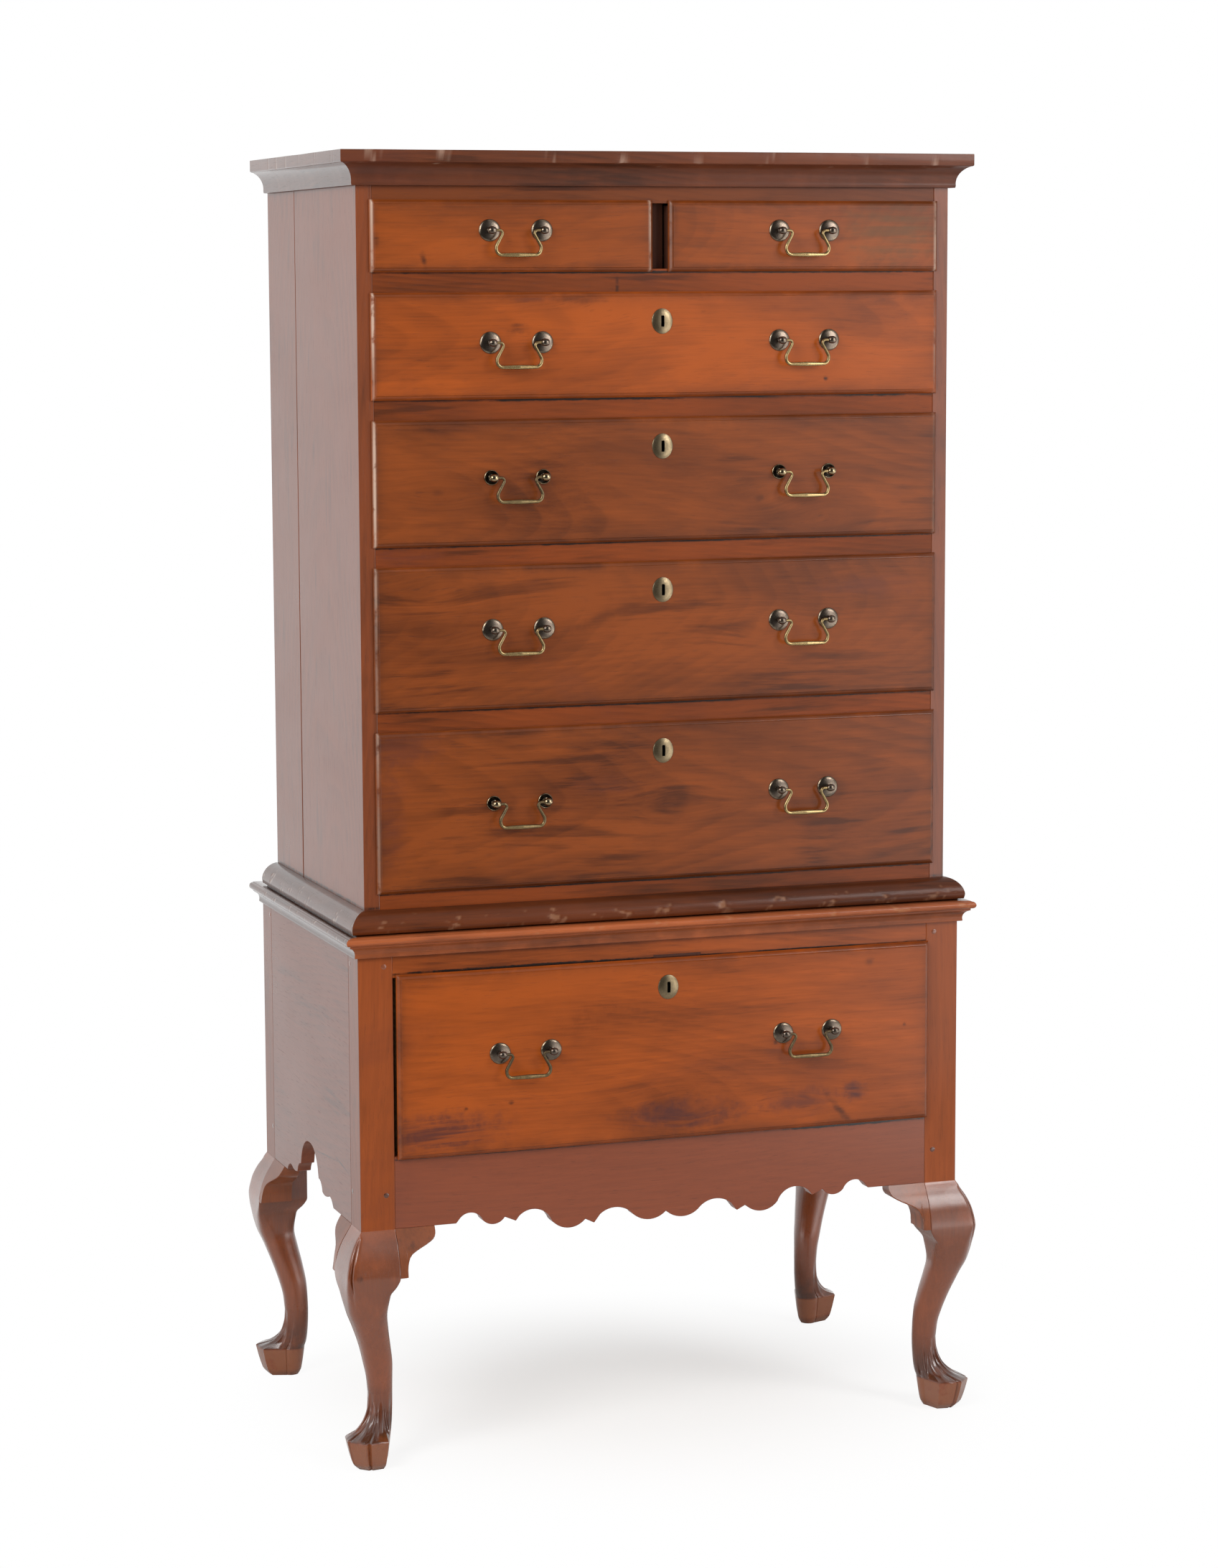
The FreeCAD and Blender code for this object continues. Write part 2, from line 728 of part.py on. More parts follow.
def keyhole(spec, y0, y1):
    half = keyhole_w / 2
    z = lock_z(spec)
    z0 = z - keyhole_h / 2
    z1 = z + keyhole_h / 2
    path = [(-half, z0), (half, z0), (half, z1 - half), (half * 0.5, z1), (-half * 0.5, z1),
            (-half, z1 - half)]
    return plate(path, lambda x, h: Vector(x, y0, h), Vector(0, y1 - y0, 0))


def lock_block(spec):
    y1 = spec["face"] - spec["gap"] + inner_t
    z1 = box_levels(spec)[1]
    return block(-lock_w / 2, lock_w / 2, y1 - lock_t, y1, z1 - lock_h, z1)


def lip_profile(a, b, y, back):
    """Section across a front: thumb moulding in two bevels, fillet, and raised face."""
    r = lip_round
    f = y + lip_step
    rise = [(0.0, f + r), (r * 0.27, f + r * 0.32), (r, f), (r + 0.8, y)]
    return [(a, back)] + [(a + u, d) for u, d in rise] + \
        [(b - u, d) for u, d in reversed(rise)] + [(b, back)]


def make_drawer_front(name, spec):
    """Lipped front with a thumb moulding worked on all four edges."""
    y = face_y(spec)
    back = spec["face"] - spec["gap"]
    x0, x1, z0, z1 = spec["x0"], spec["x1"], spec["z0"], spec["z1"]
    across = plate(lip_profile(x0, x1, y, back), lambda x, d: Vector(x, d, z0),
                   Vector(0, 0, z1 - z0))
    down = plate(lip_profile(z0, z1, y, back), lambda z, d: Vector(x0, d, z),
                 Vector(x1 - x0, 0, 0))
    slab = across.common(down)
    low, high = box_levels(spec)
    t = box_side_t
    tongue = block(spec["b0"], spec["b1"], back, back + rebate, low, high)
    body = block(spec["b0"] + t, spec["b1"] - t, back, back + inner_t, low, high)
    front = slab.fuse([tongue, body]).removeSplitter()
    if spec["locks"]:
        front = front.cut(keyhole(spec, y - 1, back + inner_t + 1))
        front = front.cut(lock_block(spec))
    z = handle_z(name, spec)
    for x, _ in spec["handles"]:
        for s in (left, right):
            cx = x + s * post_span / 2
            front = front.cut(block(cx - shank / 2, cx + shank / 2, y - 1,
                                    back + inner_t + 1, z - shank / 2, z + shank / 2))
    return front


def make_drawer_box(name, spec):
    """Two sides, a back and a bottom board."""
    back = spec["face"] - spec["gap"]
    low, high = box_levels(spec)
    y0 = back + rebate
    y1 = back + spec["length"]
    t = box_side_t
    b0, b1 = spec["b0"], spec["b1"]
    sides = [block(b0, b0 + t, y0, y1, low, high), block(b1 - t, b1, y0, y1, low, high)]
    floor_z = low + bottom_up
    floor = block(b0 + t, b1 - t, back + inner_t, y1, floor_z, floor_z + box_bottom_t)
    rear = block(b0 + t, b1 - t, y1 - t, y1, floor_z + box_bottom_t, high - 6.0)
    return Part.makeCompound(sides + [floor, rear])


def polygon_ring(x, y, z, radius, sides):
    return [Vector(x + radius * math.cos(2 * math.pi * (k + 0.5) / sides), y,
                   z + radius * math.sin(2 * math.pi * (k + 0.5) / sides))
            for k in range(sides)]


def make_rosette(x, y, z):
    """Low domed disc that the shoulder of a post clamps to the drawer."""
    disc = skin([polygon_ring(x, y - d, z, r, 10)
                 for d, r in ((0.0, rosette_r), (1.2, rosette_r), (rosette_t, neck_r + 1.0))])
    return disc.cut(block(x - shank / 2, x + shank / 2, y - rosette_t - 1, y + 1,
                          z - shank / 2, z + shank / 2))


def make_ring(x, y, z):
    """Plain washer where a rosette has been lost."""
    outer = skin([polygon_ring(x, y - d, z, r, 10)
                  for d, r in ((0.0, ring_r), (ring_t, ring_r - 1.4))])
    inner = prism_along_y(10, ring_in, x, y - 5, y + 1, z)
    return outer.cut(inner)


def make_post(x, y, z, spec, seat):
    """Post with a bored head, a square shank through the front, and a square nut."""
    head = skin([polygon_ring(x, y - d, z, r, 6)
                 for d, r in ((seat, neck_r), (pin_out - 5.0, neck_r), (pin_out - 1.0, head_r),
                              (pin_out + nose, head_r * 0.55))])
    end = spec["face"] - spec["gap"] + inner_t
    stem = block(x - shank / 2, x + shank / 2, y - seat, end + nut_t + 1.5,
                 z - shank / 2, z + shank / 2)
    bore = prism_along_x(6, (wire_r + pin_play) / math.cos(math.pi / 6), x - head_r - 1,
                         x + head_r + 1, y - pin_out, z)
    post_solid = head.cut(bore).fuse(stem).removeSplitter()
    nut = block(x - nut_w / 2, x + nut_w / 2, end, end + nut_t, z - nut_w / 2, z + nut_w / 2)
    return [post_solid, nut.cut(stem)]


def make_escutcheon(spec):
    """Oval plate with a raised middle and a keyhole."""
    y = face_y(spec)
    z = lock_z(spec)

    def oval(depth, trim):
        turns = [2 * math.pi * (k + 0.5) / 12 for k in range(12)]
        return [Vector((escutcheon_w / 2 - trim) * math.cos(t), y - depth,
                       z + (escutcheon_h / 2 - trim) * math.sin(t)) for t in turns]
    shape = skin([oval(0.0, 0.0), oval(1.0, 0.0), oval(escutcheon_t, 6.5)])
    return shape.cut(keyhole(spec, y - 20, y + 1))


def make_drawer_brasses(name, spec):
    y = face_y(spec)
    z = handle_z(name, spec)
    solids = []
    for x, kind in spec["handles"]:
        for s in (left, right):
            cx = x + s * post_span / 2
            plain = kind == "ring"
            solids += make_post(cx, y, z, spec, 0.0 if plain else rosette_t)
            solids.append(make_ring(cx, y, z) if plain else make_rosette(cx, y, z))
    if spec["locks"]:
        solids += [make_escutcheon(spec), lock_block(spec)]
    return Part.makeCompound(solids)


def bend(before, corner, after, radius, steps):
    """Points of an arc of this radius that rounds a corner of the wire."""
    def unit(a, b):
        d = math.hypot(b[0] - a[0], b[1] - a[1])
        return (b[0] - a[0]) / d, (b[1] - a[1]) / d
    u = unit(corner, before)
    v = unit(corner, after)
    half = math.acos(max(-1.0, min(1.0, u[0] * v[0] + u[1] * v[1]))) / 2
    w = unit((0, 0), (u[0] + v[0], u[1] + v[1]))
    cx = corner[0] + w[0] * radius / math.sin(half)
    cz = corner[1] + w[1] * radius / math.sin(half)
    run = radius / math.tan(half)
    a0 = math.atan2(corner[1] + u[1] * run - cz, corner[0] + u[0] * run - cx)
    a1 = math.atan2(corner[1] + v[1] * run - cz, corner[0] + v[0] * run - cx)
    turn = (a1 - a0 + math.pi) % (2 * math.pi) - math.pi
    return [(cx + radius * math.cos(a0 + turn * k / steps),
             cz + radius * math.sin(a0 + turn * k / steps)) for k in range(steps + 1)]


def bail_route():
    """Half of a bail from its pin to the middle of the grip: x and z from the axis, radius."""
    tip = (post_span / 2 - 1.5, 0.0)
    hook = (post_span / 2 - 18.5, 0.0)
    shoulder = (post_span / 2 - 4.5, -bail_drop * 0.66)
    heel = (post_span / 2 - 6.0, -bail_drop)
    middle = (0.0, -bail_drop)
    points = [tip]
    points += bend(tip, hook, shoulder, 4.5, 2)
    points += bend(hook, shoulder, heel, 9.0, 1)
    points += bend(shoulder, heel, middle, 7.5, 1)
    grip = (points[-1][0] - 3.0, -bail_drop)
    return [(px, pz, wire_r) for px, pz in points + [grip]] + [middle + (grip_r,)]


def make_bail(x, y, z):
    """Swan-neck bail with its two pins in the post heads."""
    half = bail_route()
    route = half + [(-px, pz, r) for px, pz, r in reversed(half[:-1])]
    sides = 5
    rings = []
    for k, (px, pz, r) in enumerate(route):
        a = route[max(k - 1, 0)]
        b = route[min(k + 1, len(route) - 1)]
        run0 = math.hypot(px - a[0], pz - a[1]) or 1.0
        run1 = math.hypot(b[0] - px, b[1] - pz) or 1.0
        tx = (px - a[0]) / run0 + (b[0] - px) / run1
        tz = (pz - a[1]) / run0 + (b[1] - pz) / run1
        n = math.hypot(tx, tz)
        spread = 2 / n if 0 < k < len(route) - 1 else 1.0
        nx, nz = -tz / n * spread, tx / n * spread
        rings.append([Vector(x + px + nx * r * math.cos(2 * math.pi * j / sides),
                             y + r * math.sin(2 * math.pi * j / sides),
                             z + pz + nz * r * math.cos(2 * math.pi * j / sides))
                      for j in range(sides)])
    return skin(rings)


def build():
    parts = {}
    for side, word in ((left, "left"), (right, "right")):
        parts["leg_front_" + word] = make_leg(side, False)
        parts["leg_rear_" + word] = make_leg(side, True)
        parts["lower_side_" + word] = make_lower_side(side)
        parts["upper_side_" + word] = make_upper_side(side)
    parts["frame_pegs"] = make_pegs()
    parts["knee_brackets"] = make_knee_brackets()
    parts["front_skirt"] = make_front_skirt()
    parts["lower_top_rail"] = make_lower_top_rail()
    parts["lower_back"] = make_lower_back()
    parts["lower_dust_board"] = make_lower_dust_board()
    parts["lower_runners"] = make_lower_runners()
    parts["base_moulding"] = make_base_moulding()
    parts["waist_moulding"] = make_waist_moulding()
    parts["upper_top"] = make_upper_top()
    parts["upper_bottom"] = make_upper_bottom()
    parts["upper_back"] = make_upper_back()
    parts["cornice"] = make_cornice()
    parts["drawer_rails"] = make_drawer_rails()
    parts["bottom_rail"] = make_bottom_rail()
    parts["top_rail"] = make_top_rail()
    parts["divider"] = make_divider()
    parts["upper_runners"] = make_upper_runners()
    for name, spec in drawer_specs().items():
        parts[name + "_front"] = make_drawer_front(name, spec)
        parts[name + "_box"] = make_drawer_box(name, spec)
        parts[name + "_brasses"] = make_drawer_brasses(name, spec)
        for x, _ in spec["handles"]:
            word = "" if name.startswith("drawer_5") else ("_left" if x < 0 else "_right")
            parts[name + "_bail" + word] = make_bail(x, face_y(spec) - pin_out,
                                                     handle_z(name, spec))
    return parts


def main():
    os.makedirs("parts", exist_ok=True)
    for name, shape in build().items():
        if shape.ShapeType == "Compound" and len(shape.Solids) == 1:
            shape = shape.Solids[0]
        if not shape.isValid():
            print("not valid:", name)
        shape.exportStep("parts/" + name + ".step")
        print(name, len(shape.Solids), round(shape.Volume))


if __name__ == "__main__":
    main()
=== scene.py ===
import json
import math

import bmesh
import bpy
import numpy as np
from mathutils import Matrix, Vector

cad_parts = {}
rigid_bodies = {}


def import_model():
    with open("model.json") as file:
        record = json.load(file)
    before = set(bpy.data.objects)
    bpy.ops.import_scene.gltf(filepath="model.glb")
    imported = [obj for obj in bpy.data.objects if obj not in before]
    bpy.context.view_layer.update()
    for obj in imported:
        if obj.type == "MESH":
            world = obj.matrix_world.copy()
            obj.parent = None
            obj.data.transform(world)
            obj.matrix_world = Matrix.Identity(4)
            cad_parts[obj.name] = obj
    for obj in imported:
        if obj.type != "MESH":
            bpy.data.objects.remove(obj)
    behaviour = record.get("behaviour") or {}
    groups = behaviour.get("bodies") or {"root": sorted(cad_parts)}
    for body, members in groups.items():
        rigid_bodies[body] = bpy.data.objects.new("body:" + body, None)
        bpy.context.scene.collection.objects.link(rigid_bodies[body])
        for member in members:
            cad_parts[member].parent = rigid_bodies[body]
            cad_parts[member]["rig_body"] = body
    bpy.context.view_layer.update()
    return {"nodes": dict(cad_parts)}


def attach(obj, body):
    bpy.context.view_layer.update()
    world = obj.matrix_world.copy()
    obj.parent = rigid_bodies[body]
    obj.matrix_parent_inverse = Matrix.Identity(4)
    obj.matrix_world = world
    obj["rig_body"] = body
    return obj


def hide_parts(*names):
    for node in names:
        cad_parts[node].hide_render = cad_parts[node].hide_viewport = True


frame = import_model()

# A highboy in figured walnut. Lengths in the dictionaries are millimetres, +Z up, and
# the drawers face -Y; everything is turned into metres when a mesh is made.

mm = 0.001
scene = bpy.context.scene
for spare in ("Cube", "Camera", "Light"):
    if spare in bpy.data.objects:
        bpy.data.objects.remove(bpy.data.objects[spare])


# empties the node tree of a material or world, in which put works from then on
def openTree(owner):
    global tree
    owner.use_nodes = True
    tree = owner.node_tree
    tree.nodes.clear()


# sockets given as inputs are linked, plain values are typed in
def plug(node, inputs):
    for key, value in inputs.items():
        if isinstance(value, bpy.types.NodeSocket):
            tree.links.new(value, node.inputs[key])
        else:
            node.inputs[key].default_value = value


# adds a shader node, sets it up and plugs its inputs
def put(kind, inputs=None, **settings):
    node = tree.nodes.new("ShaderNode" + kind)
    for key, value in settings.items():
        setattr(node, key, value)
    plug(node, inputs or {})
    return node


# one sum of the math node, held between 0 and 1 when clamp is set
def calc(operation, a, b=0.0, c=0.0, clamp=False):
    inputs = {0: a, 1: b, 2: c}
    return put("Math", inputs, operation=operation, use_clamp=clamp).outputs[0]


# a * b, or a * b + plus
def times(a, b, plus=None, clamp=False):
    if plus is None:
        return calc("MULTIPLY", a, b, clamp=clamp)
    return calc("MULTIPLY_ADD", a, b, plus, clamp)


# the same for vectors; out=1 gives the plain number of lengths and products
def vec(operation, a, b=(0, 0, 0), out=0):
    return put("VectorMath", {0: a, 1: b}, operation=operation).outputs[out]


# smooth step of value between low and high
def step(value, low, high, bottom=0.0, top=1.0):
    inputs = {"Value": value, "From Min": low, "From Max": high, "To Min": bottom, "To Max": top}
    return put("MapRange", inputs, interpolation_type="SMOOTHSTEP").outputs[0]


# colour a at amount 0, b at 1
def blend(amount, a, b):
    a, b = (v if isinstance(v, bpy.types.NodeSocket) else (*v, 1.0) for v in (a, b))
    return put("Mix", {0: amount, 6: a, 7: b}, data_type="RGBA").outputs[2]


# noise with stretch waves per metre along each axis
def cloud(where, stretch, detail=3.0, rough=0.55, bend=0.0, out=0):
    inputs = {"Vector": vec("MULTIPLY", where, stretch), "Scale": 1.0, "Detail": detail,
              "Roughness": rough, "Distortion": bend}
    return put("TexNoise", inputs).outputs[out]


# normals tilted by the slope of height
def bump(height, strength, distance):
    inputs = {"Height": height, "Strength": strength, "Distance": distance}
    return put("Bump", inputs).outputs[0]


# the material, its shader and its places
def newMaterial(name):
    material = bpy.data.materials.new(name)
    openTree(material)
    shader = put("BsdfPrincipled")
    put("OutputMaterial", {"Surface": shader.outputs[0]})
    return material, shader, put("TexCoord").outputs["Object"]


# how dark the surface is, for dirt and for painted shade, and how pale, for rubbed wood and for
# painted highlights, each from 0 to 1
def readMarks():
    return (put("Attribute", attribute_name=mark).outputs["Fac"] for mark in ("age", "rub"))


woodBase = {
    "grain": "x",              # the way the board's length runs
    "light": (0.34, 0.085, 0.022),
    "dark": (0.110, 0.030, 0.011),
    "deep": (0.022, 0.009, 0.006),
    "stain": (0.085, 0.026, 0.022),    # purple-brown, where something has been spilt
    "olive": (0.125, 0.058, 0.020),
    # near-black for painted shadow lines in the gaps round the drawers and for the shaded recess by
    # the divider
    "soot": (0.016, 0.008, 0.006),
    "pale": (0.52, 0.35, 0.26),        # bare or bruised wood, and the painted highlights along the drawer lips
    "pith": (0.0, 0.060, -0.10),       # where the tree's middle runs, in the board's own frame
    "taper": 0.10,             # slant of the growth rings along the board
    "spacing": 0.0085,         # between growth rings, metres
    "wander": 0.022,           # how far the rings stray
    "rings": 0.24,
    "wisps": 0.62,             # long dark threads
    "streaks": 0.44,
    "blotches": 1.10,
    "pores": 0.25,
    "stains": 0.30,
    "tone": 0.26,              # 0 all light, 1 all dark
    "gloss": 0.30,             # roughness of the wood
    "shine": 0.14,
    "coat": 0.24,              # shellac over it
    "coatGloss": 0.16,
    "grime": 0.55,             # how dark the worn-in dirt and the painted shade get
    "grimeRough": 0.12,
    "knots": (),               # x, z and size in mm; the grain flows round them
    "knotLong": 0.4,           # how much quicker a knot fades across than along
    "knotPush": 0.82,
    "marks": (),               # middle, half sizes in mm, strength, colour, degrees about Y or X
    "bump": 0.20,
}
turns = {"x": (0, 0, 0), "y": (0, 0, -math.pi / 2), "z": (0, math.pi / 2, 0)}
figure = {
    # noise per metre along and across the grain, then detail, roughness and distortion
    "stray": ((1.8, 5, 5), 1.2),
    "shift": ((1.5, 8, 8), 1),
    "ringPatches": ((4, 4, 6), 2),     # rings show only here and there
    "blotches": ((2.6, 10, 10), 4, 0.62),
    "wisps": ((4.2, 62, 62), 4, 0.6),
    "wispPatches": ((5, 5, 11), 2),
    "fibre": ((6, 260, 260), 5, 0.72),
    "clouds": ((3.4, 3.4, 6.5), 4, 0.6, 0.4),
    "pores": ((34, 980, 980), 2),
    "frayed": ((70, 70, 70), 4, 0.65),     # edges of marks
    "threads": ((9, 150, 150), 3),
    "dirt": ((26, 26, 26), 4),
    "bruises": ((70, 70, 70), 3),
    "planing": ((14, 14, 14), 2),
}
swing = 2.2                    # noise keeps near its middle, and this widens it


# wood as rings round a slanting pith: ring = distance from the pith / spacing, bent by
# noise and round knots, with saw-tooth late wood, long wisps, and short pores along the grain
def makeWood(name, **changes):
    look = {**woodBase, **changes}
    material, shader, place = newMaterial(name)

    def noise(kind, where, out=0):
        return cloud(where, *figure[kind], out=out)

    flow = place
    for x, z, size in look["knots"]:
        off = vec("SUBTRACT", flow, (x * mm, 0, z * mm))
        near = vec("MULTIPLY", off, (look["knotLong"] / (size * mm), 0, 1 / (size * mm)))
        push = calc("EXPONENT", times(vec("DOT_PRODUCT", near, near, 1), -1.0))
        inputs = {0: vec("MULTIPLY", off, (0, 0, look["knotPush"])), 3: push}
        flow = vec("SUBTRACT", flow, put("VectorMath", inputs, operation="SCALE").outputs[0])
    board = put("Mapping", {"Vector": flow, "Rotation": turns[look["grain"]],
                            "Location": look["pith"]}).outputs[0]
    stray = vec("SUBTRACT", noise("stray", board, 1), (0.5, 0.5, 0.5))
    reach = look["wander"] * 2
    bent = vec("ADD", board, vec("MULTIPLY", stray, (0.0, reach, reach)))
    along = put("SeparateXYZ", {0: board}).outputs[0]
    ring = vec("LENGTH", vec("MULTIPLY", bent, (0, 1, 1)), out=1)
    ring = calc("DIVIDE", times(along, look["taper"], ring), look["spacing"])
    ring = calc("FRACT", calc("ADD", ring, times(noise("shift", board), swing)))
    late = times(step(ring, 0.10, 0.84), step(ring, 1.0, 0.86))
    late = times(late, step(noise("ringPatches", place), 0.35, 0.62))
    wisp = times(step(noise("wisps", bent), 0.50, 0.66),
                 step(noise("wispPatches", place), 0.42, 0.62))
    fibre, cloudy = noise("fibre", bent), noise("clouds", place)
    pore = step(noise("pores", bent), 0.60, 0.72)
    fac = times(wisp, look["wisps"], times(late, look["rings"], look["tone"]))
    for part, gain in ((noise("blotches", bent), "blotches"), (fibre, "streaks")):
        fac = times(calc("SUBTRACT", part, 0.5), look[gain] * swing, fac)
    fac = calc("ADD", fac, 0.0, clamp=True)
    colour = blend(fac, look["light"], look["dark"])
    spilt = times(step(cloudy, 0.54, 0.80), look["stains"])
    colour = blend(spilt, colour, look["stain"])
    colour = blend(times(pore, look["pores"]), colour, look["deep"])
    frayed = noise("frayed", place)
    thready = step(noise("threads", bent), 0.36, 0.60, 0.35, 1.0)
    for middle, size, strength, tint, *lean in look["marks"]:
        off = vec("SUBTRACT", place, tuple(v * mm for v in middle))
        if lean:
            off = put("VectorRotate", {"Vector": off, "Angle": math.radians(lean[1])},
                      rotation_type=lean[0] + "_AXIS").outputs[0]
        far = vec("MULTIPLY", off, tuple(1 / (v * mm) for v in size))
        far = times(frayed, 1.5, vec("LENGTH", far, out=1))
        spot = times(step(far, 2.2, 0.9, 0.0, strength), thready)
        colour = blend(spot, colour, look[tint])
    # the first mark darkens, for dirt and for painted shade; the second pales, for rubbed wood and
    # for painted highlights
    age, rub = readMarks()
    dirt = times(age, step(noise("dirt", place), 0.15, 0.60))
    dirt = times(dirt, look["grime"], clamp=True)
    colour = blend(dirt, colour, look["deep"])
    bare = times(rub, step(noise("bruises", place), 0.25, 0.50), clamp=True)
    colour = blend(bare, colour, look["pale"])
    polish = times(pore, 0.12, times(cloudy, 0.14, look["gloss"] - 0.07))
    polish = times(dirt, look["grimeRough"], polish, clamp=True)
    relief = times(pore, -0.8, times(fibre, 0.25))
    relief = times(noise("planing", place), 2.0, relief)
    plug(shader, {"Base Color": colour, "Roughness": polish, "Specular IOR Level": look["shine"],
                  "Coat Weight": look["coat"], "Coat Roughness": look["coatGloss"],
                  "Normal": bump(relief, look["bump"], 0.0004)})
    return material


# marks on an upright face y in front of the middle: x, z, half width, half height, strength,
# colour and, where one leans, degrees about Y
def onFace(y, *rows):
    return [((x, y, z), (wide, 30, tall), strength, tint, *(("Y", *lean) if lean else ()))
            for x, z, wide, tall, strength, tint, *lean in rows]


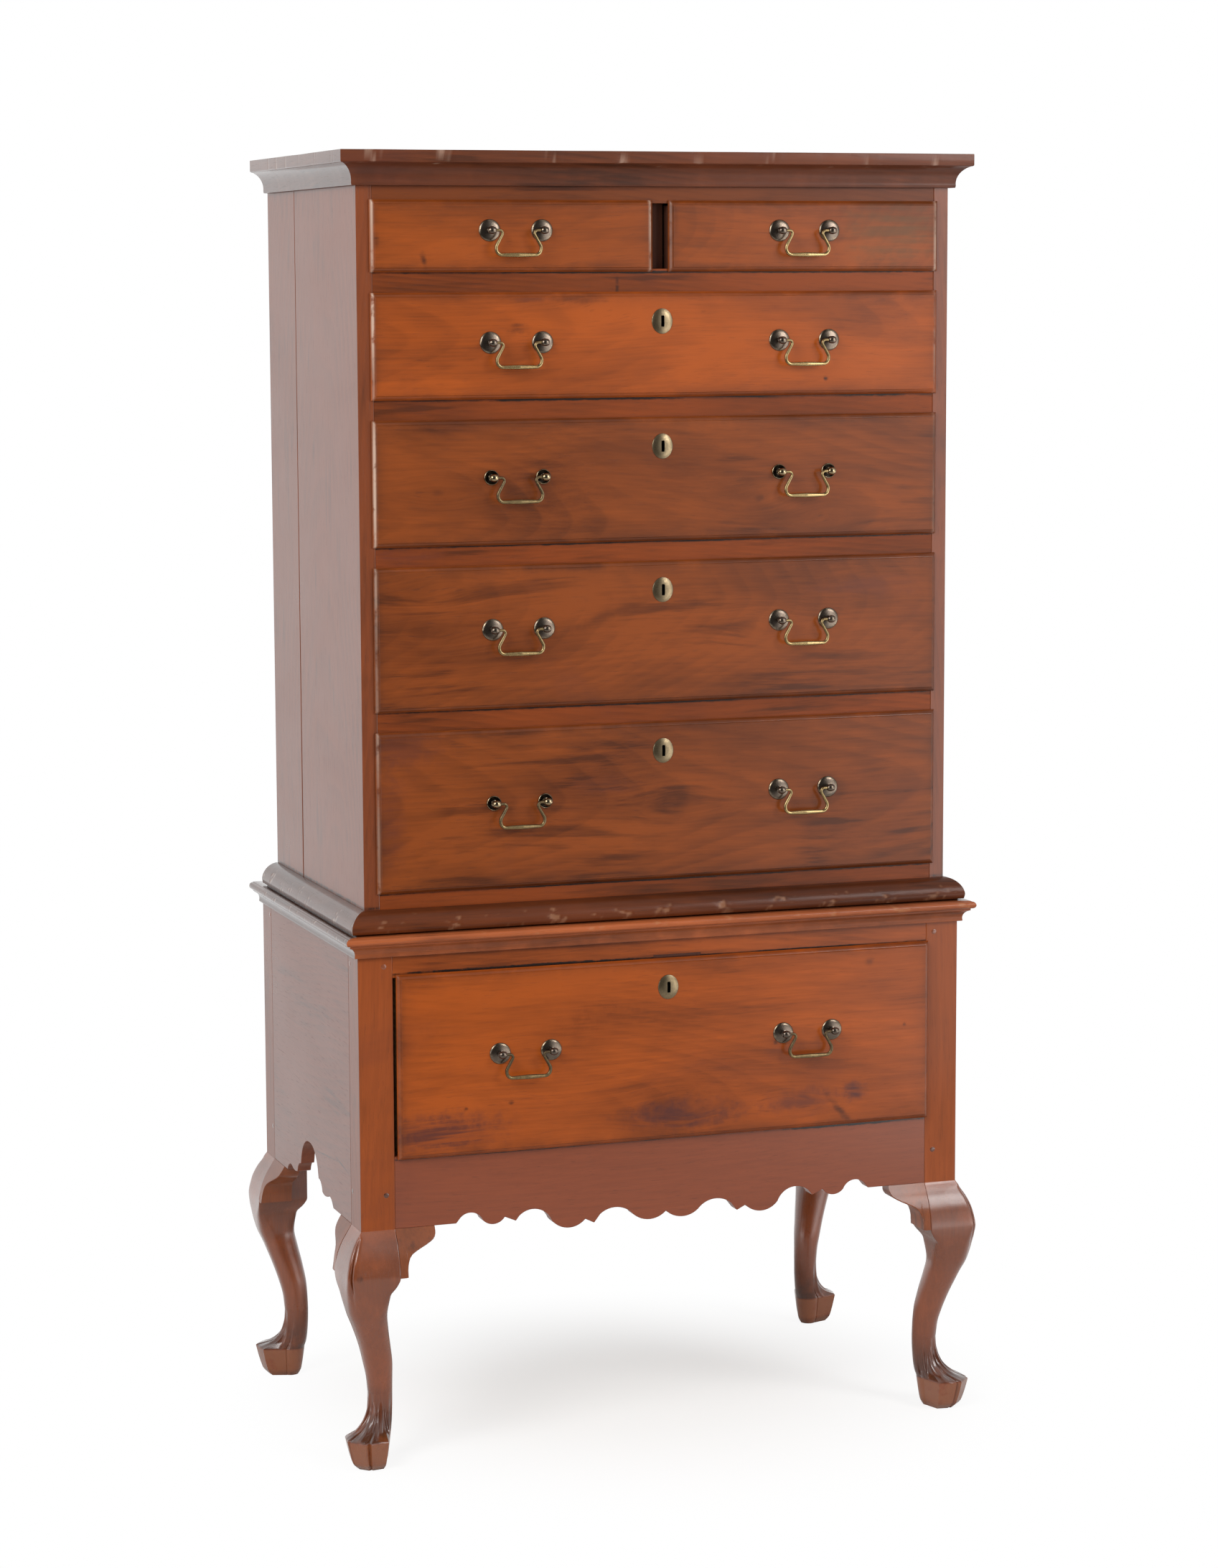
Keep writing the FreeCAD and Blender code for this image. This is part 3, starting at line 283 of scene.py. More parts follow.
brown = {"light": (0.262, 0.059, 0.010), "dark": (0.088, 0.021, 0.005)}
orange = {"light": (0.41, 0.083, 0.010), "dark": (0.150, 0.032, 0.006), "rings": 0.15}
softOrange = {"light": (0.34, 0.072, 0.010), "dark": (0.125, 0.029, 0.006), "rings": 0.12}
red = {"light": (0.23, 0.055, 0.018), "dark": (0.105, 0.028, 0.011)}
wood = {
    "front1": makeWood("walnut front 1", **brown, pith=(0.2, 0.05, -0.915), knots=((20, 905, 26),),
        marks=onFace(-252, (20, 905, 14, 5, 0.6, "deep"), (-380, 1000, 60, 30, 0.45, "stain"),
            (-395, 900, 22, 70, 0.4, "stain"), (-90, 935, 45, 14, 0.25, "stain"))),
    "front2": makeWood("walnut front 2", **brown, pith=(-0.1, 0.05, -1.185), taper=0.2, rings=0.13,
        knots=((-330, 1215, 30), (-330, 1158, 26), (150, 1150, 22)),
        marks=onFace(-252, (-150, 1240, 80, 6, 0.6, "deep"), (308, 1201, 85, 16, 0.4, "stain"),
            (-88, 1169, 75, 9, 0.35, "dark", 25), (-50, 1182, 90, 6, 0.45, "dark", 20))),
    "front3": makeWood("walnut front 3", **brown, pith=(0.3, 0.05, -1.3), wisps=0.55, wander=0.034,
        knots=((142, 1330, 24), (-323, 1345, 26), (230, 1300, 30)),
        marks=onFace(-252, (142, 1328, 7, 5, 0.6, "deep"), (-323, 1345, 9, 5, 0.35, "deep"))),
    "front4": makeWood("walnut front 4", **orange, pith=(-0.2, 0.06, -1.56), wisps=0.22,
        stains=0.1, knots=((-95, 1590, 30),),
        marks=onFace(-252, (-207, 1563, 15, 8, 0.6, "deep"), (-118, 1603, 45, 7, 0.5, "deep"),
            (-190, 1603, 24, 4, 0.45, "stain"), (242, 1492, 3.5, 3.5, 0.85, "deep"),
            (60, 1585, 4, 2, 0.5, "deep"))),
    "front5": makeWood("walnut front 5", **softOrange, pith=(-0.3, 0.06, -1.75), wisps=0.18,
        stains=0.1,
        marks=onFace(-252, (-339, 1656, 4, 11, 0.8, "deep", 15), (-405, 1680, 5, 9, 0.7, "deep"))),
    "front5r": makeWood("walnut front 5 right", **softOrange, pith=(-0.9, 0.06, -1.75), taper=0.35,
        wisps=0.3, stains=0.15,
        marks=onFace(-252, (345, 1690, 80, 46, 0.65, "olive"), (365, 1705, 30, 20, 0.4, "olive"))),
    "frontLow": makeWood("walnut front low", **orange, pith=(0.1, 0.07, -0.45), wisps=0.2,
        stains=0.3, knots=((183, 470, 24), (20, 480, 34)),
        marks=onFace(-271, (-243, 625, 190, 60, 0.55, "light"),
            (-337, 468, 95, 28, 0.85, "stain"), (20, 468, 85, 22, 0.9, "stain"),
            (200, 474, 60, 20, 0.65, "stain"), (282, 482, 18, 14, 0.9, "stain"),
            (258, 458, 5, 30, 0.7, "deep", 42), (-231, 504, 4, 3.5, 0.8, "deep"),
            (-296, 499, 3.5, 3, 0.8, "deep"), (359, 573, 3, 3, 0.8, "deep"),
            (305, 667, 7, 7, 0.45, "deep"), (161, 561, 3, 3, 0.6, "deep"),
            (170, 545, 26, 14, 0.3, "stain"))),
    "case": makeWood("walnut case", **red, gloss=0.62, coat=0.0, shine=0.2),
    "side": makeWood("walnut side", light=(0.235, 0.056, 0.016), dark=(0.135, 0.034, 0.011),
        grain="z", stains=0.1, coat=0.44, shine=0.22, coatGloss=0.12, blotches=0.25,
        marks=(((-430, 0, 781), (40, 900, 2.4), 0.95, "deep"),
            ((430, 0, 781), (40, 900, 2.4), 0.95, "deep"))),
    "sideLow": makeWood("walnut low side", light=(0.215, 0.052, 0.018), dark=(0.12, 0.031, 0.012),
        grain="y", stains=0.1, coat=0.39, shine=0.22, coatGloss=0.12, blotches=0.25,
        marks=(((-445, -80, 405), (30, 58, 1.3), 0.85, "deep", "X", 5),
            ((-445, -165, 410), (30, 40, 1.3), 0.85, "deep", "X", -8))),
    "leg": makeWood("walnut leg", light=(0.3, 0.072, 0.019), dark=(0.15, 0.037, 0.012), grain="z",
        rings=0.06, wisps=0.25, blotches=0.55, coat=1.0, shine=0.3, coatGloss=0.24,
        grimeRough=-0.16, grime=0.8, stains=0.2, pale=(0.3, 0.108, 0.042),
        marks=(((-454, -283, 277), (4, 12, 5), 0.8, "deep"),)),
    "post": makeWood("walnut post", light=(0.345, 0.078, 0.018), dark=(0.16, 0.04, 0.012),
        grain="z", rings=0.06, wisps=0.25, blotches=0.45, coat=0.22),
    "bracket": makeWood("walnut bracket", light=(0.29, 0.074, 0.019), dark=(0.13, 0.035, 0.012),
        grain="z", rings=0.08, coat=0.5, shine=0.2, coatGloss=0.12),
    "mould": makeWood("walnut moulding", light=(0.145, 0.034, 0.009), dark=(0.058, 0.015, 0.005),
        pale=(0.4, 0.2, 0.11), coat=0.1),
    "mouldTop": makeWood("walnut cornice", light=(0.17, 0.045, 0.017), dark=(0.072, 0.022, 0.01),
        coat=0.15),
    # painted light: lighter than the other mouldings, standing for light that reaches the base
    # moulding's lower curves
    "mouldBase": makeWood("walnut base moulding", light=(0.46, 0.118, 0.036),
        dark=(0.2, 0.056, 0.022), pale=(0.45, 0.2, 0.09), coat=0.2, rings=0.1),
    "mouldSide": makeWood("walnut moulding return", light=(0.15, 0.048, 0.022),
        dark=(0.07, 0.023, 0.012), grain="y", coat=0.9, coatGloss=0.14),
    # painted shadow lines on the skirt just under the lower drawer's bottom edge
    "skirt": makeWood("walnut skirt", light=(0.27, 0.062, 0.021), dark=(0.16, 0.038, 0.015),
        rings=0.08, wisps=0.2, blotches=0.25, coat=0.7, coatGloss=0.2,
        marks=onFace(-260, (290, 432.6, 125, 2.4, 3.0, "soot"),
            (-150, 433.0, 300, 1.4, 1.5, "soot"))),
    # painted shadow lines along the rails, just under the bottom edge of each drawer front
    "rail": makeWood("walnut rail", light=(0.25, 0.052, 0.01), dark=(0.095, 0.023, 0.006),
        coat=0.12,
        marks=onFace(-243, (-62, 1623, 3, 12, 0.8, "deep"), (-380, 1258, 70, 12, 0.5, "stain"),
            (0, 799.2, 520, 1.8, 1.6, "soot"), (0, 1047.2, 520, 2.0, 1.6, "soot"),
            (0, 1270.7, 520, 1.8, 1.6, "soot"), (0, 1468.2, 520, 2.6, 1.6, "soot"),
            (0, 1638.7, 520, 1.8, 1.6, "soot"))),
    "railTop": makeWood("walnut top rail", light=(0.175, 0.044, 0.012), dark=(0.075, 0.02, 0.007),
        coat=0.12),
    # painted shadow lines on this rail just above the lower drawer's lip
    "railLow": makeWood("walnut lower rail", light=(0.38, 0.082, 0.014), dark=(0.16, 0.036, 0.008),
        marks=onFace(-260, (-230, 691.4, 175, 2.4, 3.0, "soot"),
            (150, 691.2, 260, 1.2, 1.5, "soot"))),
    "patch": makeWood("walnut patch", light=(0.1, 0.027, 0.013), dark=(0.06, 0.018, 0.01)),
    # painted shade: dark colours stand for the shadow in the recess between the top drawers
    "divider": makeWood("walnut divider", light=(0.095, 0.034, 0.02), dark=(0.065, 0.024, 0.014),
        grain="z", coat=0.0, shine=0.05),
    "pineBack": makeWood("pine back", light=(0.46, 0.275, 0.125), dark=(0.27, 0.145, 0.065),
        deep=(0.1, 0.06, 0.035), stain=(0.24, 0.15, 0.09), gloss=0.75, coat=0.0),
    # painted shade: the drawer box fronts seen through the recess by the divider are darkened
    # nearly black
    "pine": makeWood("pine inside", light=(0.53, 0.335, 0.16), dark=(0.32, 0.18, 0.083),
        deep=(0.12, 0.07, 0.04), stain=(0.3, 0.2, 0.11), gloss=0.7, grain="y", coat=0.0,
        soot=(0.095, 0.034, 0.02),
        marks=(((0, -236, 1690), (34, 60, 200), 4.0, "soot"),)),
}


# tarnish over brass: noise decides where the dull brown-green film has worn through
def makeBrass(name, bright, film, cover, gloss):
    material, shader, place = newMaterial(name)
    dirt, worn = readMarks()
    patch = cloud(place, (420, 420, 420), 4, 0.65)
    fac = calc("SUBTRACT", times(patch, 1.4, cover - 0.7), worn, clamp=True)
    # the first mark turns the brass nearly black: painted shade inside the keyhole, and the dark
    # middle of the ring washers
    colour = blend(dirt, blend(fac, bright, film), (0.006, 0.005, 0.004))
    plug(shader, {"Base Color": colour, "Metallic": 1.0, "Roughness": times(fac, 0.22, gloss),
                  "Normal": bump(cloud(place, (900, 900, 900), 3), 0.25, 0.0002)})
    return material


brass = {
    # bright metal, film over it, how much of it is covered, roughness
    "bail": makeBrass("worn brass", (0.36, 0.26, 0.12), (0.10, 0.072, 0.042), 0.50, 0.26),
    "plate": makeBrass("key plate brass", (0.24, 0.18, 0.105), (0.10, 0.078, 0.05), 0.55, 0.28),
    "post": makeBrass("dark brass", (0.40, 0.30, 0.16), (0.125, 0.098, 0.078), 1.05, 0.05),
}
for name, node in frame["nodes"].items():
    node.data.materials.clear()
    node.data.materials.append(wood["case" if name == "upper_top" else "pine"])
print("finish on the frame nodes")


# points from three arrays that fit each other
def xyz(x, y, z):
    return np.stack(np.broadcast_arrays(x, y, z), -1)


# angles of count even steps round, 2 pi * k / count
def circle(count):
    return np.linspace(0, 2 * np.pi, count, endpoint=False)


# superellipse: its reach in the direction a is (|cos a|^n + |sin a|^n)^(-1/n)
def superellipse(a, n):
    return (np.abs(np.cos(a)) ** n + np.abs(np.sin(a)) ** n) ** (-1 / n)


# a shell is a closed surface: points, arrays of faces, paint number, marks per point
def shell(points, faces, paint=0, **marks):
    marks = {key: np.broadcast_to(mark, points.shape[:-1]).ravel() for key, mark in marks.items()}
    return {"points": points.reshape(-1, 3), "faces": faces, "paint": paint, "marks": marks}


# rings (n, m, 3) joined by four-sided faces, with flat lids at both ends or, when shut,
# the last ring joined to the first as in a washer
def ringShell(rings, paint=0, shut=False, **marks):
    n, m = rings.shape[:2]
    i, j = np.meshgrid(np.arange(n if shut else n - 1), np.arange(m), indexing="ij")
    k, q = (j + 1) % m, (i + 1) % n
    faces = [np.stack([i * m + j, i * m + k, q * m + k, q * m + j], -1).reshape(-1, 4)]
    if not shut:
        faces += [np.arange(m)[None], (n - 1) * m + np.arange(m)[None]]
    return shell(rings, faces, paint, **marks)


# front and back are grids (n, m, 3) of one size; walls join their rims
def slabShell(front, back, paint=0, **marks):
    n, m = front.shape[:2]
    number = np.arange(n * m).reshape(n, m)
    quads = np.stack([number[:-1, :-1], number[1:, :-1], number[1:, 1:], number[:-1, 1:]],
                     -1).reshape(-1, 4)
    rim = np.concatenate([number[0, :-1], number[:-1, -1], number[-1, :0:-1], number[:0:-1, 0]])
    after = np.roll(rim, -1)
    wall = np.stack([rim, after, after + n * m, rim + n * m], -1)
    return shell(np.stack([front, back]), [quads, quads[:, ::-1] + n * m, wall], paint, **marks)


# slow hand-work unevenness: mean of sine waves that run along scattered directions
def ripple(points, length, size, seed=1):
    dice = np.random.default_rng(seed)
    ways = dice.normal(size=(6, 3))
    ways /= np.linalg.norm(ways, axis=1, keepdims=True)
    waves = np.sin(points @ ways.T * (2 * np.pi / length) + dice.uniform(0, 6.28, 6))
    return size * waves.mean(-1) * 1.7


# cubic through rows (position, values) with slopes that never overshoot: the harmonic
# mean of the chords on both sides
def easeThrough(at, rows):
    rows = np.array(sorted(rows), float)
    knots, values = rows[:, 0], rows[:, 1:]
    width = np.diff(knots)[:, None]
    chord = np.diff(values, axis=0) / width
    both = chord[:-1] * chord[1:]
    inner = np.where(both > 0, 2 * both / np.where(both > 0, chord[:-1] + chord[1:], 1), 0)
    slope = np.concatenate([chord[:1], inner, chord[-1:]])
    at = np.clip(at, knots[0], knots[-1])
    k = np.clip(np.searchsorted(knots, at) - 1, 0, len(knots) - 2)
    w = width[k]
    t = (at - knots[k])[..., None] / w
    eased = ((2 * t**3 - 3 * t**2 + 1) * values[k] + (t**3 - 2 * t**2 + t) * w * slope[k]
             + (3 * t**2 - 2 * t**3) * values[k + 1] + (t**3 - t**2) * w * slope[k + 1])
    return np.moveaxis(eased, -1, 0)


# circle through three points, sampled from the first to the last
def arcThrough(a, mid, b, count=12):
    a, mid, b = (np.array(p, float) for p in (a, mid, b))
    rows = 2 * np.array([mid - a, b - a])
    centre = np.linalg.solve(rows, [mid @ mid - a @ a, b @ b - a @ a])
    start, through, end = (math.atan2(*(p - centre)[::-1]) for p in (a, mid, b))
    sweep = (end - start) % (2 * math.pi)
    if (through - start) % (2 * math.pi) > sweep:
        sweep -= 2 * math.pi
    t = start + sweep * np.linspace(0, 1, count + 1)
    return centre + np.linalg.norm(a - centre) * np.stack([np.cos(t), np.sin(t)], -1)


# outline from plain points and (mid, end) pairs, which are arcs
def outline(path):
    line = [np.array(path[0], float)[None]]
    for item in path[1:]:
        if isinstance(item[0], tuple):
            line.append(arcThrough(line[-1][-1], *item)[1:])
        else:
            line.append(np.array(item, float)[None])
    return np.concatenate(line)


# rounds a closed outline: every corner becomes three points of a small parabola
def easeCorners(line, size):
    before, after = np.roll(line, 1, 0) - line, np.roll(line, -1, 0) - line
    near, far = (np.linalg.norm(d, axis=1, keepdims=True) for d in (before, after))
    a = line + before / near * np.minimum(size, near * 0.33)
    b = line + after / far * np.minimum(size, far * 0.33)
    return np.stack([a, (a + 2 * line + b) / 4, b], 1).reshape(-1, 2)


# a line of points resampled at even distances
def evenly(line, count):
    run = np.concatenate([[0], np.cumsum(np.linalg.norm(np.diff(line, axis=0), axis=1))])
    at = np.linspace(0, run[-1], count)
    return np.stack([np.interp(at, run, line[:, k]) for k in range(line.shape[1])], -1)


# links a finished piece, ties it to its body and hides the node it stands for
def hang(name, mesh, body, node):
    piece = bpy.data.objects.new(name, mesh)
    scene.collection.objects.link(piece)
    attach(piece, body)
    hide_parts(node)
    return piece


# shells become one mesh in metres with faces outwards; above the level split comes the
# second paint, with the third on the flanks, and dullTop lays the last on level faces
def makePiece(name, shells, body, node, paints, crease=36, split=None, dullTop=False):
    start, faces, paintOf = 0, [], []
    for part in shells:
        for block in part["faces"]:
            faces += (block + start).tolist()
            paintOf += [part["paint"]] * len(block)
        start += len(part["points"])
    points = np.concatenate([part["points"] for part in shells]) * mm
    mesh = bpy.data.meshes.new(name)
    mesh.from_pydata(points.tolist(), [], faces)
    normals = np.empty(3 * len(faces))
    mesh.polygons.foreach_get("normal", normals)
    if dullTop:
        paintOf = np.where(np.abs(normals[2::3]) > 0.97, len(paints) - 1, paintOf)
    if split:
        high = points[[face[0] for face in faces], 2] > split * mm
        paintOf = high * np.where(np.abs(normals[::3]) > 0.8, 2, 1)
    mesh.polygons.foreach_set("material_index", paintOf)
    for mark in ("age", "rub"):
        values = [part["marks"].get(mark, np.zeros(len(part["points"]))) for part in shells]
        layer = mesh.attributes.new(mark, "FLOAT", "POINT")
        layer.data.foreach_set("value", np.concatenate(values).astype(np.float32))
    grid = bmesh.new()
    grid.from_mesh(mesh)
    bmesh.ops.recalc_face_normals(grid, faces=grid.faces)
    grid.to_mesh(mesh)
    grid.free()
    mesh.shade_smooth()
    mesh.set_sharp_from_angle(angle=math.radians(crease))
    for paint in paints:
        mesh.materials.append(paint)
    hang(name, mesh, body, node)


# a merged copy of a CAD board with its arrises eased by a Bevel modifier
def easeBoard(node, paint, size):
    source = frame["nodes"][node]
    mesh = source.data.copy()
    grid = bmesh.new()
    grid.from_mesh(mesh)
    bmesh.ops.remove_doubles(grid, verts=grid.verts, dist=1e-5)
    bmesh.ops.dissolve_limit(grid, angle_limit=math.radians(0.5), verts=grid.verts,
                             edges=grid.edges)
    grid.to_mesh(mesh)
    grid.free()
    mesh.materials.clear()
    mesh.materials.append(paint)
    mesh.shade_flat()
    piece = hang(node + "_eased", mesh, source["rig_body"], node)
    bevel = piece.modifiers.new("arris", "BEVEL")
    bevel.width = size * mm
    bevel.segments = 2
    bevel.limit_method = "ANGLE"
    bevel.angle_limit = math.radians(25)


# levels and planes of the case
case = {
    "lowerFront": -260.35, "lowerBack": 263.65, "upperFront": -243.35, "upperBack": 230.65,
    "caseBottom": 336.8, "lowerTop": 746.8, "corniceBottom": 1754.3,
    "halfLower": 445.0, "halfUpper": 430.0, "openLower": 396.0, "openUpper": 408.0,
    "postHalf": 24.5, "postX": 420.5,
}


leg = {
    # level, reach outwards, reach inwards, squareness at the outer and the inner arris
    "knee": ((336.8, 24.5, 24.5, 100, 100), (326.6, 30.9, 24.5, 8, 100),
             (313.1, 39.0, 24.5, 4.4, 100), (294.6, 46.2, 24.5, 3.4, 100),
             (272.8, 50.0, 24.5, 3.0, 100), (262.5, 49.8, 20.6, 2.9, 34),
             (248.7, 48.4, 12.7, 2.8, 8), (223.0, 43.6, 11.5, 2.6, 3.2),
             (198.9, 34.2, 15.4, 2.6, 2.4), (168.0, 22.8, 21.1, 2.4, 2.3),
             (141.4, 15.4, 25.1, 2.3, 2.2), (121.6, 11.0, 26.0, 2.1, 2.1),
             (101.0, 8.8, 26.4, 2.0, 2.0)),
    # angle from the toe's line and reach from the heel's middle
    "toes": ((0, 56), (13, 57.5), (16.5, 51), (20.5, 54.5), (33, 49.2), (49.5, 46), (90, 20),
             (135, 18.5), (180, 18.5)),
    # level and how far the ankle has grown into the foot
    "spread": ((101.0, 0), (89, 0.016), (76.6, 0.09), (63, 0.25), (55, 0.43), (49.2, 0.63),
               (45, 0.86), (42.4, 0.985), (40.85, 1.0)),
    # level and size of the foot below the top of the toes
    "taper": ((40.85, 1.0), (38, 0.985), (10.5, 0.815), (7.2, 0.78), (3.2, 0.70), (0.8, 0.635),
              (0, 0.62)),
    "ankle": (17.6, -12.445),  # radius, and place of its middle along the diagonal
    "heel": -4.0,
    "soleMiddle": 4.0,
    "flutes": ((17, 13, 5.2), (54, 16, 4.6), (93, 16, 2.6)),      # angle, half width, depth
    "fluteFade": ((0, 0), (40, 0), (44, 0.35), (52, 1.0), (70, 0.95), (88, 0.35), (104, 0)),
    # levels of the lowest rings
    "rows": (42.6, 41.9, 41.2, 40.85, 39.3, 37.5, 33, 27, 21, 15.5, 11.5, 9.6, 7.8, 6, 4, 2.4, 1.2,
             0.4, 0.0),
    "sink": 0.35,              # the carver's unevenness
    # level and how dark the wood is there
    "age": ((0, 1), (5, 0.8), (12, 0.08), (40, 0.05), (43, 0.95), (62, 0.85), (100, 0.38),
            (150, 0.12), (250, 0.45), (320, 0.40), (337, 0), (754, 0)),
    "toeRub": 0.55,
}


# section: superellipse whose squareness runs from the outer to the inner arris; foot:
# ankle circle blended into the toe outline, less round flutes of the form
# depth * sqrt(1 - (angle / half width)^2)
def legRings(look):
    sharp = np.array([0.4, 0.9, 1.5, 2.2])
    turn = [np.arange(0, 360, 2.5)] + [c + s * sharp for c in (0, 90, 180, 270) for s in (-1, 1)]
    turn += [c + np.array([-4, -2.4, -1, 0, 1, 2.4, 4]) for c in (16.5, -16.5, 49.5, -49.5)]
    turn = np.unique(np.round(np.concatenate(turn) % 360, 2))
    away = np.minimum(turn, 360 - turn)
    h, ankleTop = look["knee"][0][0], look["knee"][-1][0]
    high = np.concatenate([[h - 0.01], h - np.linspace(0.5, 18, 12),
                           np.linspace(h - 22, ankleTop, 62)])
    out, inner, nOut, nIn = easeThrough(high, look["knee"])[..., None]
    shift = (out - inner) / 2
    a = np.radians(turn - 45)[None]
    r = (out + inner) / 2 * superellipse(a, nOut + (nIn - nOut) * np.minimum(away / 90, 1)[None])
    knee = xyz(shift + r * np.cos(a), r * np.sin(a) - shift, high[:, None])

    z = np.concatenate([np.linspace(100, 57.5, 26), np.linspace(56, 43.5, 12), look["rows"]])
    z = z[:, None]
    grow = easeThrough(z, look["spread"])[0]
    size = easeThrough(z, look["taper"])[0]
    knots, reach = np.array(look["toes"], float).T
    k = np.clip(np.searchsorted(knots, away) - 1, 0, len(knots) - 2)
    t0, t1, t = np.radians(knots[k]), np.radians(knots[k + 1]), np.radians(away)
    toe = reach[k] * reach[k + 1] * np.sin(t1 - t0) / (
        reach[k] * np.sin(t - t0) + reach[k + 1] * np.sin(t1 - t))     # straight between corners
    toe = np.where(away > 92, reach[-1], toe)[None]
    cut = sum(deep * np.sqrt(np.clip(1 - ((away - middle) / wide) ** 2, 0, 1))
              for middle, wide, deep in look["flutes"])
    ankle, middle = look["ankle"]
    t = np.radians(turn)[None]
    reach = (1 - grow) * ankle + grow * toe - easeThrough(z, look["fluteFade"])[0] * cut[None]
    u = (1 - grow) * middle + grow * look["heel"] + reach * np.cos(t)
    u = look["soleMiddle"] + (u - look["soleMiddle"]) * size
    v = reach * np.sin(t) * size
    foot = xyz((u + v) * 0.5 ** 0.5, (v - u) * 0.5 ** 0.5, z)
    r = case["postHalf"] * superellipse(a, 60.0)
    top = np.array([case["lowerTop"], case["lowerTop"] - 0.5, h])[:, None]
    return np.concatenate([xyz(r * np.cos(a), r * np.sin(a), top), knee, foot])


# the same stick four times, mirrored, its surface let in here and there by slow waves
def makeLegs(look):
    rings = legRings(look)
    z = rings[..., 2]
    rub = look["toeRub"] * np.clip((41.2 - z) / 1.2, 0, 1)
    across = rings[..., :2] - rings[..., :2].mean(1, keepdims=True)
    across /= np.linalg.norm(across, axis=-1, keepdims=True)
    for side, word in ((-1, "left"), (1, "right")):
        for end, way, y in (("front", 1, case["lowerFront"] + case["postHalf"]),
                            ("rear", -1, case["lowerBack"] - case["postHalf"])):
            seed = 3 + side + 2 * (end == "rear")
            sink = np.minimum(ripple(rings, 70, look["sink"], seed) - look["sink"], 0)
            sink = sink * (z < case["caseBottom"] - 1) * np.clip(z / 40, 0, 1)
            shape = rings.copy()
            shape[..., :2] += across * sink[..., None]
            shape = shape * (side, way, 1) + (side * case["postX"], y, 0)
            stick = ringShell(shape, age=easeThrough(z, look["age"])[0], rub=rub)
            name = f"leg_{end}_{word}"
            makePiece(name + "_carved", [stick], "case", name,
                      [wood["leg"], wood["post"], wood["side"]], 40,
                      case["caseBottom"] - 0.3)


bracket = {
    "thick": 22.0,
    # distance from the post and how far down the block reaches there
    "edge": ((0, 64), (8, 64), (10.95, 63.6), (11.0, 55), (11.6, 49.5), (12.8, 44.0), (15, 38.2),
             (19, 33.6), (25, 30.0), (32, 26.6), (40, 23.0), (47, 19.4), (51.5, 16.6), (54.2, 13.4),
             (55.6, 10), (56, 7), (56, 0)),
    # distance under the case and how far the knee has swelled there
    "swell": ((0, 0), (10.2, 6.4), (23.7, 14.5), (42.2, 21.7), (64, 25.5)),
    "free": 0.93,              # share of the swell left at the free end
    "soft": 1.4,               # eased lower arris
}


# block under the case: u along the case, drop(u) downwards, carrying on the knee's swell
# times 1 - (1 - free) * u / width, the arris eased by soft * (1 - sqrt(1 - q^2))
def bracketRings(look):
    knots, edge = np.array(look["edge"], float).T
    width = knots[-1]
    u = np.concatenate([np.linspace(0, width - 0.05, 44), knots[:-1]])
    u = np.unique(np.round(u, 2))[:, None]
    drop = np.interp(u, knots[:-1], edge[:-1])
    share = np.concatenate([np.linspace(0, 0.94, 24), [0.955, 0.97, 0.982, 0.991, 0.997, 1.0]])
    down = share[None] * drop
    bulge = easeThrough(down, look["swell"])[0] * (1 - (1 - look["free"]) * u / width)
    q = np.clip((down - drop) / look["soft"] + 1, 0, 1)
    bulge = np.maximum(bulge - look["soft"] * (1 - np.sqrt(1 - q * q)) * (drop < 63), -0.0)
    return np.concatenate([xyz(u, -bulge, -down), xyz(u, look["thick"], -down)[:, ::-1]], 1)


# the block on both sides of each front post and before each rear one, mirrored in x
def makeBrackets(look):
    rings = bracketRings(look)
    flank = rings[..., [1, 0, 2]] * (-1, 1, 1)
    front, rear, under = case["lowerFront"], case["lowerBack"], case["caseBottom"]
    post = 2 * case["postHalf"]
    places = ((rings * (-1, 1, 1), (case["openLower"], front, under)),
              (flank, (case["halfLower"], front + post, under)),
              (flank * (1, -1, 1), (case["halfLower"], rear - post, under)))
    shells = [ringShell((shape + place) * (side, 1, 1), age=0.12) for side in (-1, 1)
              for shape, place in places]
    makePiece("knee_brackets_shaped", shells, "case", "knee_brackets", [wood["bracket"]],
              40)


peg = {
    "low": 384.8, "high": 702.8,
    "front": 408.5,            # from the middle of the piece
    "side": 41.0,              # from the front or back of the posts
    "profile": ((-30, 3.6), (-1, 4.0), (-0.1, 3.9), (0.3, 3.0), (0.4, 1.2)),   # out, radius
    "wobble": 0.06,            # whittled, not turned
    "lowAge": 0.9, "highAge": 0.25,
}


# profile turned about its own line, radius * (1 + wobble * (sin 2t + 0.7 sin 3t))
def makePegs(look):
    t = circle(20)
    out, radius = np.array(look["profile"]).T[..., None]
    radius = radius * (1 + look["wobble"] * (np.sin(2 * t + 1) + 0.7 * np.sin(3 * t)))
    sideways = xyz(out, radius * np.cos(t), radius * np.sin(t))
    forwards = sideways[..., [1, 0, 2]] * (1, -1, 1)
    shells = []
    for side in (-1, 1):
        for level in ("low", "high"):
            for shape, x, y in ((sideways, case["halfLower"], case["lowerFront"] + look["side"]),
                                (sideways, case["halfLower"], case["lowerBack"] - look["side"]),
                                (forwards, look["front"], case["lowerFront"])):
                shells.append(ringShell((shape + (x, y, look[level])) * (side, 1, 1),
                                        age=look[level + "Age"]))
    makePiece("frame_pegs_domed", shells, "case", "frame_pegs", [wood["leg"]], 50)


rail = {
    "z": (686.8, 746.8), "thick": 22.0,
    "patch": (-18.0, 52.0, 8.0),   # left, right and height of the piece let in
    "seam": 0.2,
    "deep": 6.0,
    "proud": 0.25,             # the patch has shrunk less than the rail
}


